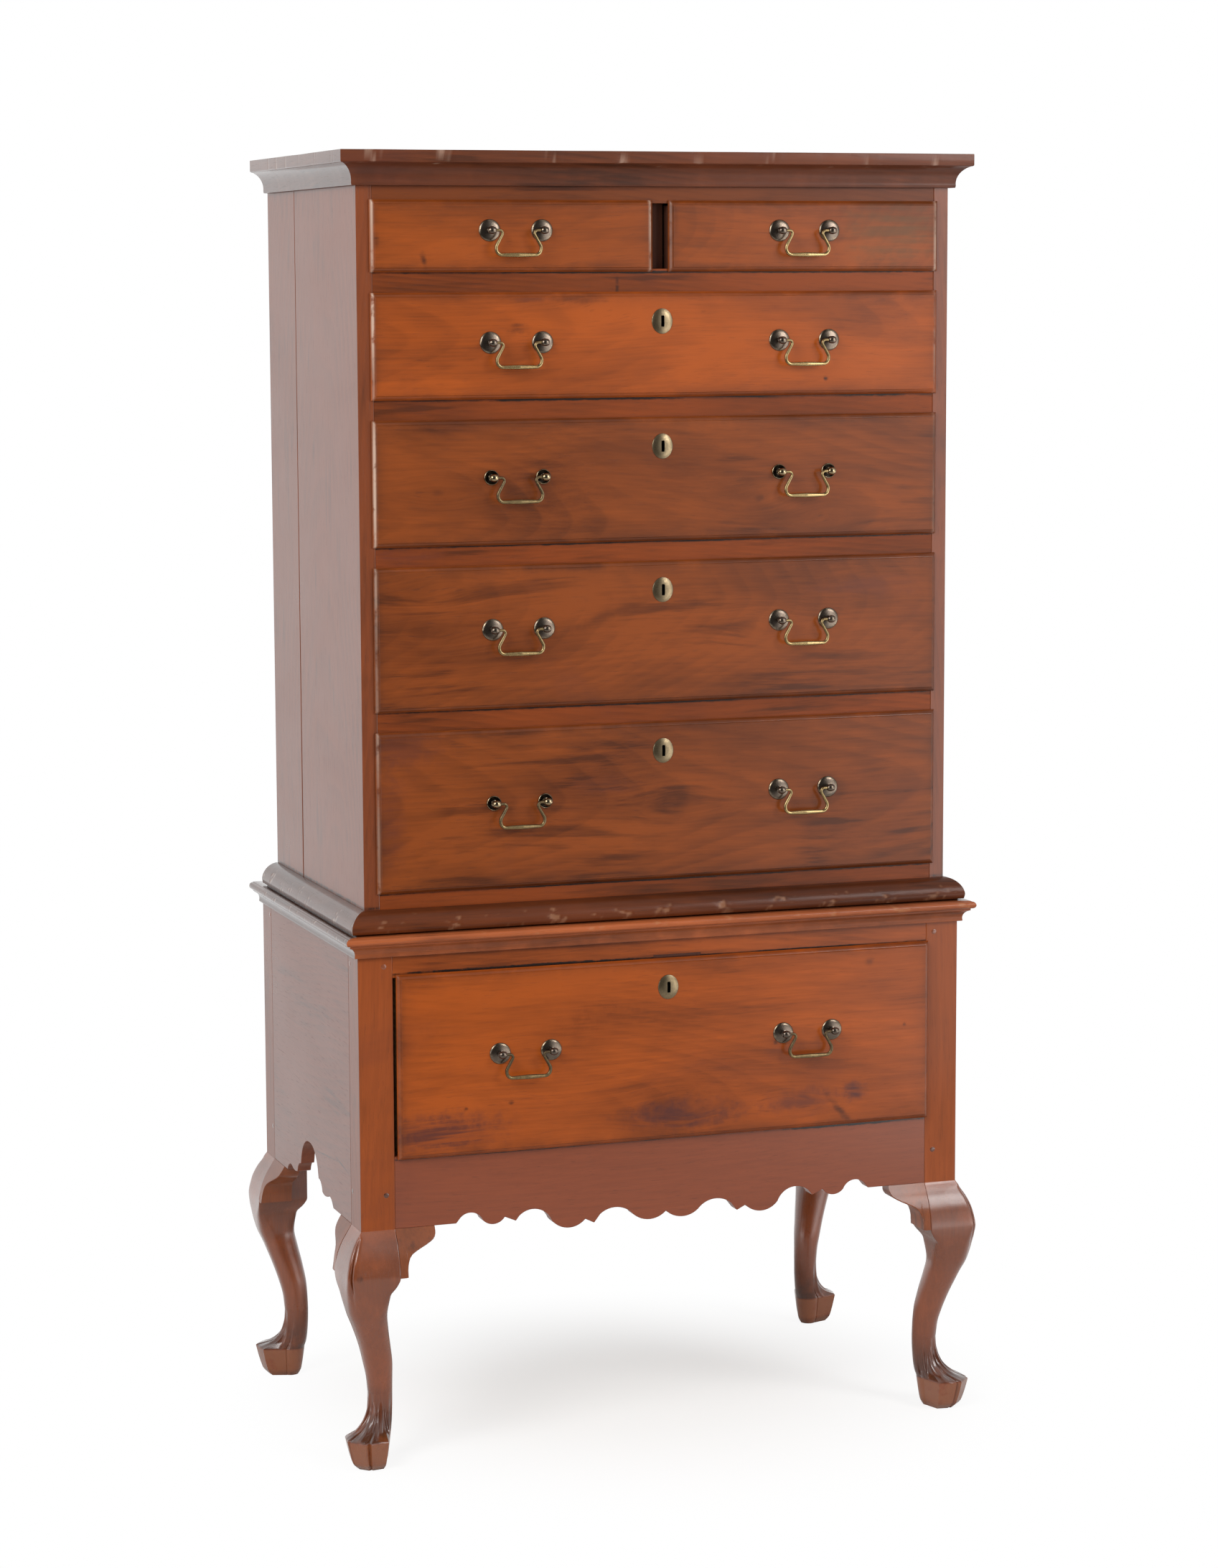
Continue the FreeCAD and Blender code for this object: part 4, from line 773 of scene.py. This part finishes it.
# rail as a grid whose depth jumps to deep inside the recess, and the piece that fills it
def makeRail(look):
    left, right, tall = look["patch"]
    bottom, top = look["z"]
    front, end, jump = case["lowerFront"], case["openLower"], 0.02
    # left, right and height of the recess
    x0, x1, high = left - look["seam"], right + look["seam"], tall + look["seam"]
    x = np.concatenate([np.linspace(-end, left - 20, 30), [x0 - jump, x0, x1, x1 + jump],
                        np.linspace(right + 20, end, 30)])
    z = bottom + np.array([0, 0.4, high, high + jump, 16, 29, top - bottom])
    x, z = np.meshgrid(x, z, indexing="ij")
    inside = (x > x0 - jump / 2) & (x < x1 + jump / 2) & (z < bottom + high + jump / 2)
    # painted shade and grime: darker just above the drawer's lip and in a line where the base
    # moulding's lower edge meets the rail
    grime = 0.35 * np.exp(-(z - bottom) / 5) + 0.8 * np.exp(-np.abs(z - top + 30) / 3)
    shells = [slabShell(xyz(x, front + np.where(inside, look["deep"], 0.0), z),
                        xyz(x, front + look["thick"], z), age=grime)]
    x, z = np.meshgrid(np.linspace(left, right, 9), np.linspace(bottom, bottom + tall, 4),
                       indexing="ij")
    shells.append(slabShell(xyz(x, front + look["proud"], z),
                            xyz(x, front + look["deep"] - 0.1, z), 1))
    makePiece("lower_top_rail_patched", shells, "case", "lower_top_rail",
              [wood["railLow"], wood["patch"]], 32)


low, cap = case["lowerTop"], case["corniceBottom"]
mouldings = {
    # profile: distance out and level, with arcs as pairs (a point on it, its end)
    "base_moulding": {
        "half": case["halfLower"], "front": case["lowerFront"], "back": case["lowerBack"],
        "profile": [(0, low - 30), (5.6, low - 30), (5.6, low - 28),
                    ((8.4, low - 17.5), (14.4, low - 14)), (14.4, low - 11), (15.6, low - 11),
                    ((20.7, low - 6), (15.6, low - 1)), (14, low), (0, low)],
        "wear": 0.45, "finish": "mouldBase",
    },
    "waist_moulding": {
        "half": case["halfUpper"], "front": case["upperFront"], "back": case["upperBack"],
        "profile": [(0, low), (16, low), (16, low + 2.5), (22.7, low + 2.5), (24, low + 9),
                    ((17.28, low + 24), (2, low + 32)), (0, low + 32)],
        "wear": 0.5, "finish": "mould",
    },
    "cornice": {
        "half": case["halfUpper"], "front": case["upperFront"], "back": case["upperBack"] - 9,
        "profile": [(0, cap), (7.6, cap), (8.2, cap + 3), ((13, cap + 20.9), (24.5, cap + 29.5)),
                    (25.5, cap + 29.5), (27.5, cap + 30.7), (27.5, cap + 46.5), (0, cap + 46.5)],
        "wear": 0.3, "finish": "mouldTop",
    },
}


# a profile (out, z) carried along the front and two returns; at a mitre the station
# moves by the profile's own projection, and wear pulls the nose back by slow waves
def makeMoulding(name, look):
    out, z = easeCorners(outline(look["profile"]), 0.8).T
    half, front, back = look["half"] + out, look["front"] - out, look["back"]
    share = np.linspace(0, 1, 260)[:, None]
    long = xyz(share * 2 * half - half, front, z)
    side = xyz(half, front + share * (back - front), z)
    nose = np.clip(out / out.max(), 0, 1) ** 2
    # darker in the hollows of the profile, away from its nose
    grime = 0.75 * (1 - nose) * (out > 0.5)
    shells = []
    runs = ((long, (0, 1, 0)), (side, (-1, 0, 0)), (side * (-1, 1, 1), (1, 0, 0)))
    for k, (line, inwards) in enumerate(runs):
        chip = np.maximum(ripple(line, 41, 0.9, 5 + k) + ripple(line, 9, 0.8, 9 + k) - 0.50, 0)
        pull = (chip * look["wear"] * nose)[..., None]
        lift = np.abs(ripple(line, 160, 0.25, 12 + k) * nose)[..., None]
        rub = np.clip(pull[..., 0] * 2.2 - 0.25, 0, 0.45)
        line = line + pull * inwards - lift * (0, 0, 1)
        shells.append(ringShell(line, min(k, 1), age=grime, rub=rub))
    makePiece(name + "_run", shells, "case", name,
              [wood[look["finish"]], wood["mouldSide"], wood["case"]], 32,
              dullTop=name == "cornice")


backs = {
    "upper_back": {"half": case["openUpper"], "y": (218.65, 230.65),
                   "levels": (746.8, 1010.3, 1273.8, 1537.3, 1800.8)},
    "lower_back": {"half": case["openLower"], "y": (248.65, 260.65),
                   "levels": (336.8, 550.0, 746.8)},
}


# boards laid across: a rectangle (y, z) with eased corners carried along x, its outer
# face planed uneven by slow waves
def makeBack(name, look):
    shells = []
    x = np.linspace(-look["half"], look["half"], 60)[:, None]
    inside, outside = look["y"]
    for k, (low, high) in enumerate(zip(look["levels"], look["levels"][1:])):
        corners = np.array([(inside, low), (outside, low), (outside, high), (inside, high)])
        line = easeCorners(corners, 1.3)
        line = np.concatenate([line, line[:1]])
        run = np.linspace(0, 1, 9)[:-1, None, None]
        line = (line[:-1] * (1 - run) + line[1:] * run).transpose(1, 0, 2).reshape(-1, 2)
        board = xyz(x, line[:, 0], line[:, 1])
        board[..., 1] -= np.abs(ripple(board, 150, 0.5, 60 + k)) * (board[..., 1] > outside - 1.5)
        edge = np.minimum(line[:, 1] - low, high - line[:, 1])
        shells.append(ringShell(board, age=np.exp(-edge / 4)))
    makePiece(name + "_boards", shells, "case", name, [wood["pineBack"]], 30)


chest = {"x": (-412.5, 412.5), "box": (-406.5, 406.5), "back": case["upperFront"] - 0.4}
fronts = {
    # left and right: plates of the handle, shine of its bail and of its heads; then the strength of
    # the painted highlights along the left and right lips
    "drawer_1": {**chest, "z": (799.8, 1020.8), "finish": "front1", "left": ("ring", -0.35, 0.55),
                 "right": ("rosette", 0.25, 0.05), "handleZ": 918.6, "paleLips": (0.5, 0.05),
                 "lock": 980.8},
    "drawer_2": {**chest, "z": (1047.8, 1244.3), "finish": "front2", "left": ("rosette", 0.0, 0.05),
                 "right": ("rosette", 0.1, 0.05), "handleZ": 1156.85, "paleLips": (0.55, 0.05),
                 "lock": 1204.3},
    "drawer_3": {**chest, "z": (1271.3, 1441.8), "finish": "front3", "left": ("ring", -0.35, 0.65),
                 "right": ("ring", 0.2, 0.6), "handleZ": 1363.55, "paleLips": (1.4, 0.25),
                 "lock": 1401.8},
    "drawer_4": {**chest, "z": (1468.8, 1612.3), "finish": "front4", "left": ("rosette", 0.0, 0.05),
                 "right": ("rosette", 0.05, 0.05), "handleZ": 1545.05, "paleLips": (1.4, 0.5),
                 "lock": 1572.3},
    "drawer_5_left": {**chest, "x": (-412.5, -11.5), "box": (-406.5, -13.5), "z": (1639.3, 1735.8),
                      "finish": "front5", "left": ("rosette", 0.05, 0.05), "handleZ": 1695.05,
                      "paleLips": (1.1, 1.1)},
    "drawer_5_right": {**chest, "x": (11.5, 412.5), "box": (13.5, 406.5), "z": (1639.3, 1735.8),
                       "finish": "front5r", "right": ("rosette", 0.15, 0.05), "handleZ": 1695.05,
                       "paleLips": (0.25, 1.1)},
    "drawer_lower": {"x": (-392.5, 398.0), "z": (433.8, 690.8), "box": (-388.5, 394.5),
                     "back": case["lowerFront"] - 2.4, "finish": "frontLow",
                     "left": ("rosette", -0.5, -0.1), "right": ("rosette", -0.45, -0.1),
                     "handleZ": 573.8, "paleLips": (0.1, 0.1), "lock": 650.8},
}
lip = {
    "round": 5.5, "squash": 1.35, "step": 1.0, "thick": 8.0, "inner": 14.0, "tongue": 5.6,
    "side": 11.0,
    "fillet": (5.62, 0.68),    # from the edge to the fillet's foot, and its width
    "under": 4.3, "over": 7.0,     # from the lips to the part inside the case
    "worn": (2.6, 5.0),        # how far in from the left and right ends the painted lip highlights lie
    "keyPit": (3.6, 9.0, 7.2),     # half width, half height and depth cut for the key
}


# depth is a function of the distance d to the nearest edge: a thumb moulding
# r * (1 - (1 - (1 - d / r)^n)^(1 / n)) with n near 1 where it is rubbed flat, a fillet up
# to the raised field, and a pit for the key
def makeFront(name, look):
    back = look["back"]
    face = back - lip["thick"]
    r, n = lip["round"], lip["squash"]
    inset = np.array([0, 0.12, 0.35, 0.7, 1.2, 1.9, 2.8, 4.0, 5.5, 5.62, 6.1, 6.3, 6.6, 9.0])
    lines = []
    for a, b in (look["x"], look["z"]):
        inner = np.linspace(a + 14, b - 14, int((b - a) / 9))
        lines.append(np.concatenate([a + inset, inner, b - inset[::-1]]))
    half, tall, deep = lip["keyPit"]
    lock = look.get("lock")
    if lock:
        for k, (middle, reach) in enumerate(((0, half), (lock, tall))):
            rim = middle + np.array([-reach, 0.03 - reach, reach - 0.03, reach])
            lines[k] = np.sort(np.concatenate([lines[k], rim]))
    x, z = np.meshgrid(*lines, indexing="ij")
    d = np.minimum.reduce([x - look["x"][0], look["x"][1] - x, z - look["z"][0], look["z"][1] - z])
    across = 1 - np.minimum(d, r) / r
    bead = r * (1 - (1 - across ** n) ** (1 / n))
    foot, wide = lip["fillet"]
    field = np.clip((d - foot) / wide, 0, 1)
    depth = lip["step"] * (1 - field * field * (3 - 2 * field)) + bead
    flat = xyz(x, 0, z)
    depth = depth + ripple(flat, 300, 0.12, 23) * np.clip((d - 7) / 20, 0, 1)
    if lock:
        pit = (np.abs(x) < half - 0.02) & (np.abs(z - lock) < tall - 0.02)
        depth = np.where(pit, deep, depth)
    # painted shade and grime: darkest over the lip's rounding and the fillet at its foot, fading
    # into the field
    edge = np.maximum(d - 5, 0)
    age = np.where(d > 1.0, np.exp(-edge / 6.0) * 0.55 + np.exp(-edge / 30.0) * 0.22, 0.35)
    # painted highlight: pale streaks just inside the left and right ends stand for the gloss along
    # the lips' rounding
    pale = sum(strength * np.exp(-((np.abs(x - end) - worn) / 1.5) ** 2)
               for strength, end, worn in zip(look["paleLips"], look["x"], lip["worn"]))
    pale = pale * np.clip(0.75 + ripple(flat, 90, 0.5, 31), 0, 1)
    shells = [slabShell(xyz(x, face + depth, z), xyz(x, back, z),
                        age=np.stack([age, 0 * age + 0.6]), rub=np.stack([pale, 0 * pale]))]
    left, right = look["box"]
    z0, z1 = look["z"][0] + lip["under"], look["z"][1] - lip["over"]
    cuts = (left, left + lip["side"], right - lip["side"], right)
    for x0, x1, inwards in zip(cuts, cuts[1:], (lip["tongue"], lip["inner"], lip["tongue"])):
        block = xyz(np.array([x0, x1, x1, x0]), np.array([[back], [back + inwards]]),
                    np.array([z0, z0, z1, z1]))
        shells.append(ringShell(block, age=0.1))
    makePiece(name + "_front_worked", shells, name, name + "_front", [wood[look["finish"]]],
              34)


fitting = {
    "middle": 209.5,           # of a handle, from the middle of the piece
    "span": 74.0,              # between the two posts of a handle
    "pinOut": 13.0,            # bail axis in front of the face
    "bead": (5.3, 2.5, 5.1),   # radius of the bored head, of its bore, half its width
    # distance out and radius, from the wood to the head
    "neck": ((0, 4.6), (0.9, 4.6), (1.4, 3.5), (3.2, 3.1), (5.2, 3.3), (6.6, 3.9), (7.2, 3.0)),
    "neckPlain": ((0, 4.4), (0.8, 4.4), (1.3, 3.4), (4.5, 3.1), (8.0, 3.3), (10.0, 3.9),
                  (10.4, 3.0)),
    "rosette": ((0, 2.7), (0, 14.9), (0.7, 15.0), (1.5, 14.5), (2.3, 13.2), (2.9, 11.4),
                (3.3, 9.0), (3.7, 6.6), (4.0, 4.7), (4.0, 2.7)),
    "ring": ((0, 3.8), (0, 10.4), (0.8, 10.5), (1.5, 10.2), (1.8, 9.7), (1.6, 9.1), (0.9, 8.7),
             (0.4, 8.1), (0.35, 3.8)),
    "oval": (15.0, 17.25, 3.2),    # half width, half height, rise of the key plate
    "keyhole": (2.2, 7.6),     # half width and half height
    "lock": (31.0, 52.0),      # half width and height
}


# a profile (out, radius) turned about the line that points out of the drawer, -Y
def turned(profile, x, y, z, count=40, oval=0.0):
    out, radius = np.array(profile, float).T[..., None]
    t = circle(count)
    r = radius * (1 + oval * np.cos(2 * t + 0.7))
    return xyz(x + r * np.cos(t), y - out, z + r * np.sin(t))


# the bored head: outside a sphere cut off by two planes, inside a straight bore along X
def beadRings(look, x, y, z):
    radius, bore, half = look["bead"]
    across = half * np.sin(np.linspace(-1.25, 1.25, 13)) / np.sin(1.25)
    outer = np.sqrt(radius**2 - (across * 0.80) ** 2)
    inside = [(half - 0.25, bore + 0.25), (half - 0.6, bore), (0, bore), (0.6 - half, bore),
              (0.25 - half, bore + 0.25)]
    across, r = np.concatenate([np.stack([across, outer], -1), inside]).T
    t = circle(28)[:, None]
    return xyz(x + across, y - look["pinOut"] + r * np.cos(t), z + r * np.sin(t))


# a square bar pointing out of the drawer, from rows of y and half width
def squareRings(levels, x, z):
    y, h = np.array(levels, float).T[..., None]
    return xyz(x + h * (-1, 1, 1, -1), y, z + h * (-1, -1, 1, 1))


# post, square shank and nut of one end of a handle, with its rosette or washer
def postShells(look, x, y, z, back, kind, shine):
    seat = 4.0 if kind == "rosette" else 0.0
    neck = [(seat + d, r) for d, r in look["neck" if seat else "neckPlain"]]
    end = back + lip["inner"]
    shells = [ringShell(turned(neck, x, y, z, 24), 1, rub=shine * 0.6),
              ringShell(beadRings(look, x, y, z), 1, shut=True, rub=shine),
              ringShell(squareRings(((y - seat + 0.05, 2.1), (end + 4.7, 2.1)), x, z), 1),
              ringShell(squareRings(((end, 4.5), (end + 2.6, 4.5), (end + 3.2, 3.6)), x, z), 1)]
    out, radius = np.array(look[kind]).T[..., None]
    if kind == "rosette":
        rub, age, oval = 0.18 * ((radius > 12) & (out > 0.5)), 0.0, 0.008
    else:
        rub, age, oval = 0.35 * (radius > 8.9), 0.95 * (radius <= 8.9), 0.012
    shells.append(ringShell(turned(look[kind], x, y, z, 48, oval), 1, shut=True, rub=rub, age=age))
    return shells


# key plate: oval rings shrink onto the keyhole while the plate rises by rise * (1 - s^2.6),
# s being the distance from the middle; a thin tube lines the hole and a plug closes it,
# and the hole's walls and the plug are painted near-black as shade
def plateShells(look, y, z):
    a, b, rise = look["oval"]
    half, tall = look["keyhole"]
    t = circle(72)
    rim = np.stack([a * np.cos(t), b * np.sin(t)], -1)
    hole = superellipse(t, 9.0)
    slot = np.stack([half * hole * np.cos(t), tall * hole * np.sin(t)], -1)
    share = np.array([0, 0.015, 0.06, 0.14, 0.24, 0.36, 0.50, 0.64, 0.78, 0.90, 0.97, 1.0])
    share = share[:, None, None]
    flat = rim * (1 - share) + slot * share
    far = np.sqrt((flat[..., 0] / a) ** 2 + (flat[..., 1] / b) ** 2)
    up = 0.7 + (rise - 0.7) * (1 - np.minimum(far, 1) ** 2.6)
    up[0] = 0.45

    def level(line, depth):
        return xyz(line[:, 0], y - depth, z + line[:, 1])[None]

    pipe = slot * np.array([(half + 0.8) / half, (tall + 0.8) / tall])
    rings = np.concatenate([level(pipe, -6.5), level(pipe, 0), level(rim, 0),
                            xyz(flat[..., 0], y - up, z + flat[..., 1]), level(slot, 1.2),
                            level(slot, -6.2)])
    worn = 0.10 + 0.30 * np.clip(1 - np.abs(far - 0.72) / 0.3, 0, 1)
    rub = np.concatenate([np.zeros((3, len(t))), worn, np.zeros((2, len(t)))])
    # painted shade: the hole's walls and the plug are turned near-black by the first mark
    dark = (np.arange(len(rings)) >= len(rings) - 3)[:, None]
    stopper = np.concatenate([level(slot * 0.99, -1.5), level(slot * 0.99, -5.5)])
    return [ringShell(rings, rub=rub, age=dark), ringShell(stopper, age=1.0)]


# lock on the back of a front: a plate with a raised case and four screw heads
def lockShell(look, back, top):
    half, height = look["lock"]
    x, z = np.meshgrid(np.linspace(-half, half, 60), np.linspace(0, height, 50), indexing="ij")
    x0 = np.abs(x)
    box = np.prod([np.clip(d / 1.2, 0, 1) for d in (half - 9 - x0, z - 8, height - 6 - z)], axis=0)
    far = np.hypot(x0 - (half - 4.5), np.abs(z - height / 2) - (height / 2 - 6))
    dome = np.sqrt(np.maximum(9 - far**2, 0)) * 0.35
    end, z = back + lip["inner"], top - height + z
    return slabShell(xyz(x, end + 0.3 + 1.4 * box + dome, z), xyz(x, end - 8.8, z), 1, rub=0.1)


# all brass that sits fast on one drawer, one mesh
def makeBrasses(name, look):
    face = look["back"] - lip["thick"]
    shells = []
    for side, x in handlesOf(look):
        kind, _, shine = look[side]
        for s in (-1, 1):
            shells += postShells(fitting, x + s * fitting["span"] / 2, face, look["handleZ"],
                                 look["back"], kind, shine)
    if "lock" in look:
        shells += plateShells(fitting, face, look["lock"])
        shells.append(lockShell(fitting, look["back"], look["z"][1] - 6.9))
    makePiece(name + "_brasses_turned", shells, name, name + "_brasses",
              [brass["plate"], brass["post"]], 40)


# which handles a drawer has, and where
def handlesOf(look):
    return [(side, x) for side, x in (("left", -fitting["middle"]), ("right", fitting["middle"]))
            if side in look]


bail = {
    # corners from the pin to the middle of the grip, each with its bend radius
    "corners": ((35.5, 0, 0), (19.6, 0, 4.2), (32.0, -21.9, 8.5), (30.6, -33.0, 8.2),
                (0, -33.0, 0)),
    # distance along the wire and its radius
    "wire": ((0, 1.95), (12, 1.95), (20, 2.0), (34, 2.3), (46, 2.4), (54, 2.45), (66, 2.9),
             (78, 3.3)),
    "gripShine": 0.40,         # handled brass at the bottom
}


# corners rounded by tangent arcs: centre on the bisector at radius / sin(half angle)
def roundedLine(corners):
    line = [np.array(corners[0][:2])[None]]
    for a, b, c in zip(corners, corners[1:], corners[2:]):
        a, c, radius, b = np.array(a[:2]), np.array(c[:2]), b[2], np.array(b[:2])
        u, v = (a - b) / np.linalg.norm(a - b), (c - b) / np.linalg.norm(c - b)
        half = math.acos(np.clip(u @ v, -1, 1)) / 2
        middle = b + (u + v) / np.linalg.norm(u + v) * radius / math.sin(half)
        run = radius / math.tan(half)
        top = middle + (b - middle) / np.linalg.norm(b - middle) * radius
        line.append(arcThrough(b + u * run, top, b + v * run, 14))
    line.append(np.array(corners[-1][:2])[None])
    return np.concatenate(line)


# round wire carried along the line; its radius swells towards the middle of the grip
def makeBail(name, look, x, y, z, shine, seed):
    half = evenly(roundedLine(look["corners"]), 62)
    line = np.concatenate([half, half[-2::-1] * (-1, 1)])
    run = np.linspace(0, 1, 62) * np.linalg.norm(np.diff(half, axis=0), axis=1).sum()
    along, radius = np.array(look["wire"]).T
    size = np.interp(run, along * (run[-1] / along[-1]), radius)
    size = np.concatenate([size, size[-2::-1]])[:, None]
    way = np.gradient(line, axis=0)
    way /= np.linalg.norm(way, axis=1, keepdims=True)
    t = circle(18)
    ring = size * np.cos(t)
    rings = xyz(x + line[:, :1] - way[:, 1:] * ring, y - size * np.sin(t),
                z + line[:, 1:] + way[:, :1] * ring)
    grip = np.clip((-line[:, 1:] - 24) / 9, 0, 1)
    rub = shine + look["gripShine"] * grip + ripple(rings, 9, 0.10, seed)
    makePiece(name + "_bent", [ringShell(rings, rub=rub)], name, name, [brass["bail"]],
              50)


makeLegs(leg)
makeBrackets(bracket)
makePegs(peg)
makeRail(rail)
print("legs, brackets, pegs and rail")
for name, look in mouldings.items():
    makeMoulding(name, look)
for name, look in backs.items():
    makeBack(name, look)
print("mouldings and back boards")
seed = 40
for name, look in fronts.items():
    makeFront(name, look)
    makeBrasses(name, look)
    for side, x in handlesOf(look):
        seed += 1
        word = "" if name.startswith("drawer_5") else "_" + side
        makeBail(name + "_bail" + word, bail, x, look["back"] - lip["thick"] - fitting["pinOut"],
                 look["handleZ"], look[side][1], seed)
print("drawer fronts, brasses and bails")

eased = {
    # paint and width of the eased arris
    "upper_side_left": ("side", 1.0), "upper_side_right": ("side", 1.0),
    "lower_side_left": ("sideLow", 0.7), "lower_side_right": ("sideLow", 0.7),
    "front_skirt": ("skirt", 0.8), "drawer_rails": ("rail", 0.5),
    "top_rail": ("railTop", 0.5), "bottom_rail": ("rail", 0.5), "divider": ("divider", 0.8),
}
for node, (paint, size) in eased.items():
    easeBoard(node, wood[paint], size)
print("boards with eased arrises")


view = {
    "place": (-1.8109, -5.2152, 1.6217),
    "yaw": 19.229,             # degrees towards +X
    "dip": 7.417,              # degrees below the horizon
    "roll": -0.235,
    "lens": 88.03,
}


# forward from yaw and dip, right level, then both turned about forward by the roll
def makeCamera(look):
    yaw, dip, roll = (math.radians(look[k]) for k in ("yaw", "dip", "roll"))
    ahead = Vector((math.sin(yaw) * math.cos(dip), math.cos(yaw) * math.cos(dip), -math.sin(dip)))
    level = Vector((math.cos(yaw), -math.sin(yaw), 0))
    upright = level.cross(ahead)
    across = level * math.cos(roll) + upright * math.sin(roll)
    upright = upright * math.cos(roll) - level * math.sin(roll)
    data = bpy.data.cameras.new("camera")
    data.sensor_fit = "AUTO"
    data.sensor_width = 36.0
    data.lens = look["lens"]
    data.clip_end = 60
    camera = bpy.data.objects.new("camera", data)
    scene.collection.objects.link(camera)
    turn = Matrix((across, upright, -ahead)).transposed().to_4x4()
    camera.matrix_world = Matrix.Translation(look["place"]) @ turn
    scene.camera = camera


lamps = {
    "left": {"place": (-2.44, -2.03, 2.75), "aim": (0, 0, 0.9), "size": 1.6, "power": 62},
    "right": {"place": (2.0, -2.72, 2.47), "aim": (0, 0, 0.9), "size": 1.2, "power": 38},
}


# square lamp at place, turned to face aim
def makeLamp(name, look):
    data = bpy.data.lights.new(name, "AREA")
    data.shape = "SQUARE"
    data.size = look["size"]
    data.energy = look["power"]
    lamp = bpy.data.objects.new(name, data)
    lamp.location = look["place"]
    toward = Vector(look["aim"]) - Vector(look["place"])
    lamp.rotation_euler = toward.to_track_quat("-Z", "Y").to_euler()
    scene.collection.objects.link(lamp)


room = {
    "soft": 0.45,              # light on dull surfaces
    "mirrored": (-1.81, 4.71, 0),  # the room in front is seen from here by way of the fronts
    "eaves": (0.06, 0.16),     # the bright walls end between these slopes
    "bright": 3.6,
    "overhead": 0.9,           # brightest there
    # degrees to the right of -Y and how bright the room is there
    "walls": ((-86, 1.0), (-78, 3.6), (-50, 3.6), (-42, 0.10), (16.5, 0.10), (19.5, 0.40),
              (22, 1.3), (24, 3.2), (40, 3.2), (60, 1.2)),
}


# brightness of the room by the angle across, as a sum of smooth steps
def wallLight(toward):
    x, y, z = put("SeparateXYZ", {0: toward}).outputs[:3]
    angle = times(calc("ARCTAN2", x, times(y, -1.0)), 180 / math.pi)
    level = room["walls"][0][1]
    for (a, before), (b, after) in zip(room["walls"], room["walls"][1:]):
        if before != after:
            level = calc("ADD", step(angle, a, b, 0.0, after - before), level)
    rise = calc("DIVIDE", z, vec("LENGTH", toward, out=1))
    most = step(rise, *room["eaves"], room["bright"], room["overhead"])
    return calc("MINIMUM", level, most)


# white to the camera; mirrors see bright walls with a dark stretch behind the camera
def makeRoom():
    scene.world = bpy.data.worlds.new("room")
    openTree(scene.world)
    ray = put("LightPath").outputs
    gloss = wallLight(put("TexCoord").outputs["Generated"])
    level = times(ray["Is Glossy Ray"], calc("SUBTRACT", gloss, room["soft"]), room["soft"])
    for kind in ("Is Camera Ray", "Is Transmission Ray"):
        level = calc("MAXIMUM", level, ray[kind])
    back = put("Background", {"Color": (1, 1, 1, 1), "Strength": level})
    put("OutputWorld", {"Surface": back.outputs[0]})


floor = {
    "half": 14.0,
    "rough": 0.8,
    "colour": (0.88, 0.88, 0.875),
    "seen": (1.25, 1.25, 1.243),   # what the camera sees of it is this light
    "middle": (0.02, -0.05, 0),    # of the shadow
    "lift": 0.52,              # share of plain white there, 1 from "white" on
    "near": 0.15,
    "white": 0.62,
    "front": (-0.2, -0.8),     # levels of y between which the floor in front begins
    "paper": (1.5, 3.0),       # there the bright paper ends between these for what mirrors see
    "behind": (0.5, 1.2),
}


# paper floor: takes shadows near the piece and fades to white further out
def makeFloor(look):
    half = look["half"]
    points = [(-half, -half, 0), (half, -half, 0), (half, half, 0), (-half, half, 0)]
    mesh = bpy.data.meshes.new("floor")
    mesh.from_pydata(points, [], [(0, 1, 2, 3)])
    piece = bpy.data.objects.new("floor", mesh)
    scene.collection.objects.link(piece)
    material, shader, place = newMaterial("paper floor")
    ray = put("LightPath").outputs
    plug(shader, {"Base Color": blend(ray["Is Camera Ray"], look["colour"], look["seen"]),
                  "Roughness": look["rough"]})
    far = vec("LENGTH", place, out=1)
    fromShadow = vec("DISTANCE", place, look["middle"], out=1)
    share = step(fromShadow, look["near"], look["white"], look["lift"], 1.0)
    white = put("Emission", {"Color": (1, 1, 1, 1), "Strength": 1.0})
    seen = put("MixShader", {0: times(share, ray["Is Camera Ray"]),
                             1: shader.outputs[0], 2: white.outputs[0]})
    wall = wallLight(vec("SUBTRACT", place, room["mirrored"]))
    inFront = step(put("SeparateXYZ", {0: place}).outputs[1], *look["front"])
    wall = times(inFront, calc("SUBTRACT", wall, 1.0), 1.0)
    dull = put("Emission", {"Color": (1, 1, 1, 1), "Strength": wall})
    away = calc("SUBTRACT", step(far, *look["behind"]), inFront, clamp=True)
    away = calc("MAXIMUM", step(far, *look["paper"]), away)
    away = times(away, ray["Is Glossy Ray"])
    mix = put("MixShader", {0: away, 1: seen.outputs[0], 2: dull.outputs[0]})
    plug(tree.nodes["Material Output"], {0: mix.outputs[0]})
    mesh.materials.append(material)


makeCamera(view)
for name, look in lamps.items():
    makeLamp(name, look)
makeRoom()
makeFloor(floor)
scene.view_settings.view_transform = "Standard"
print("camera, lamps and floor")
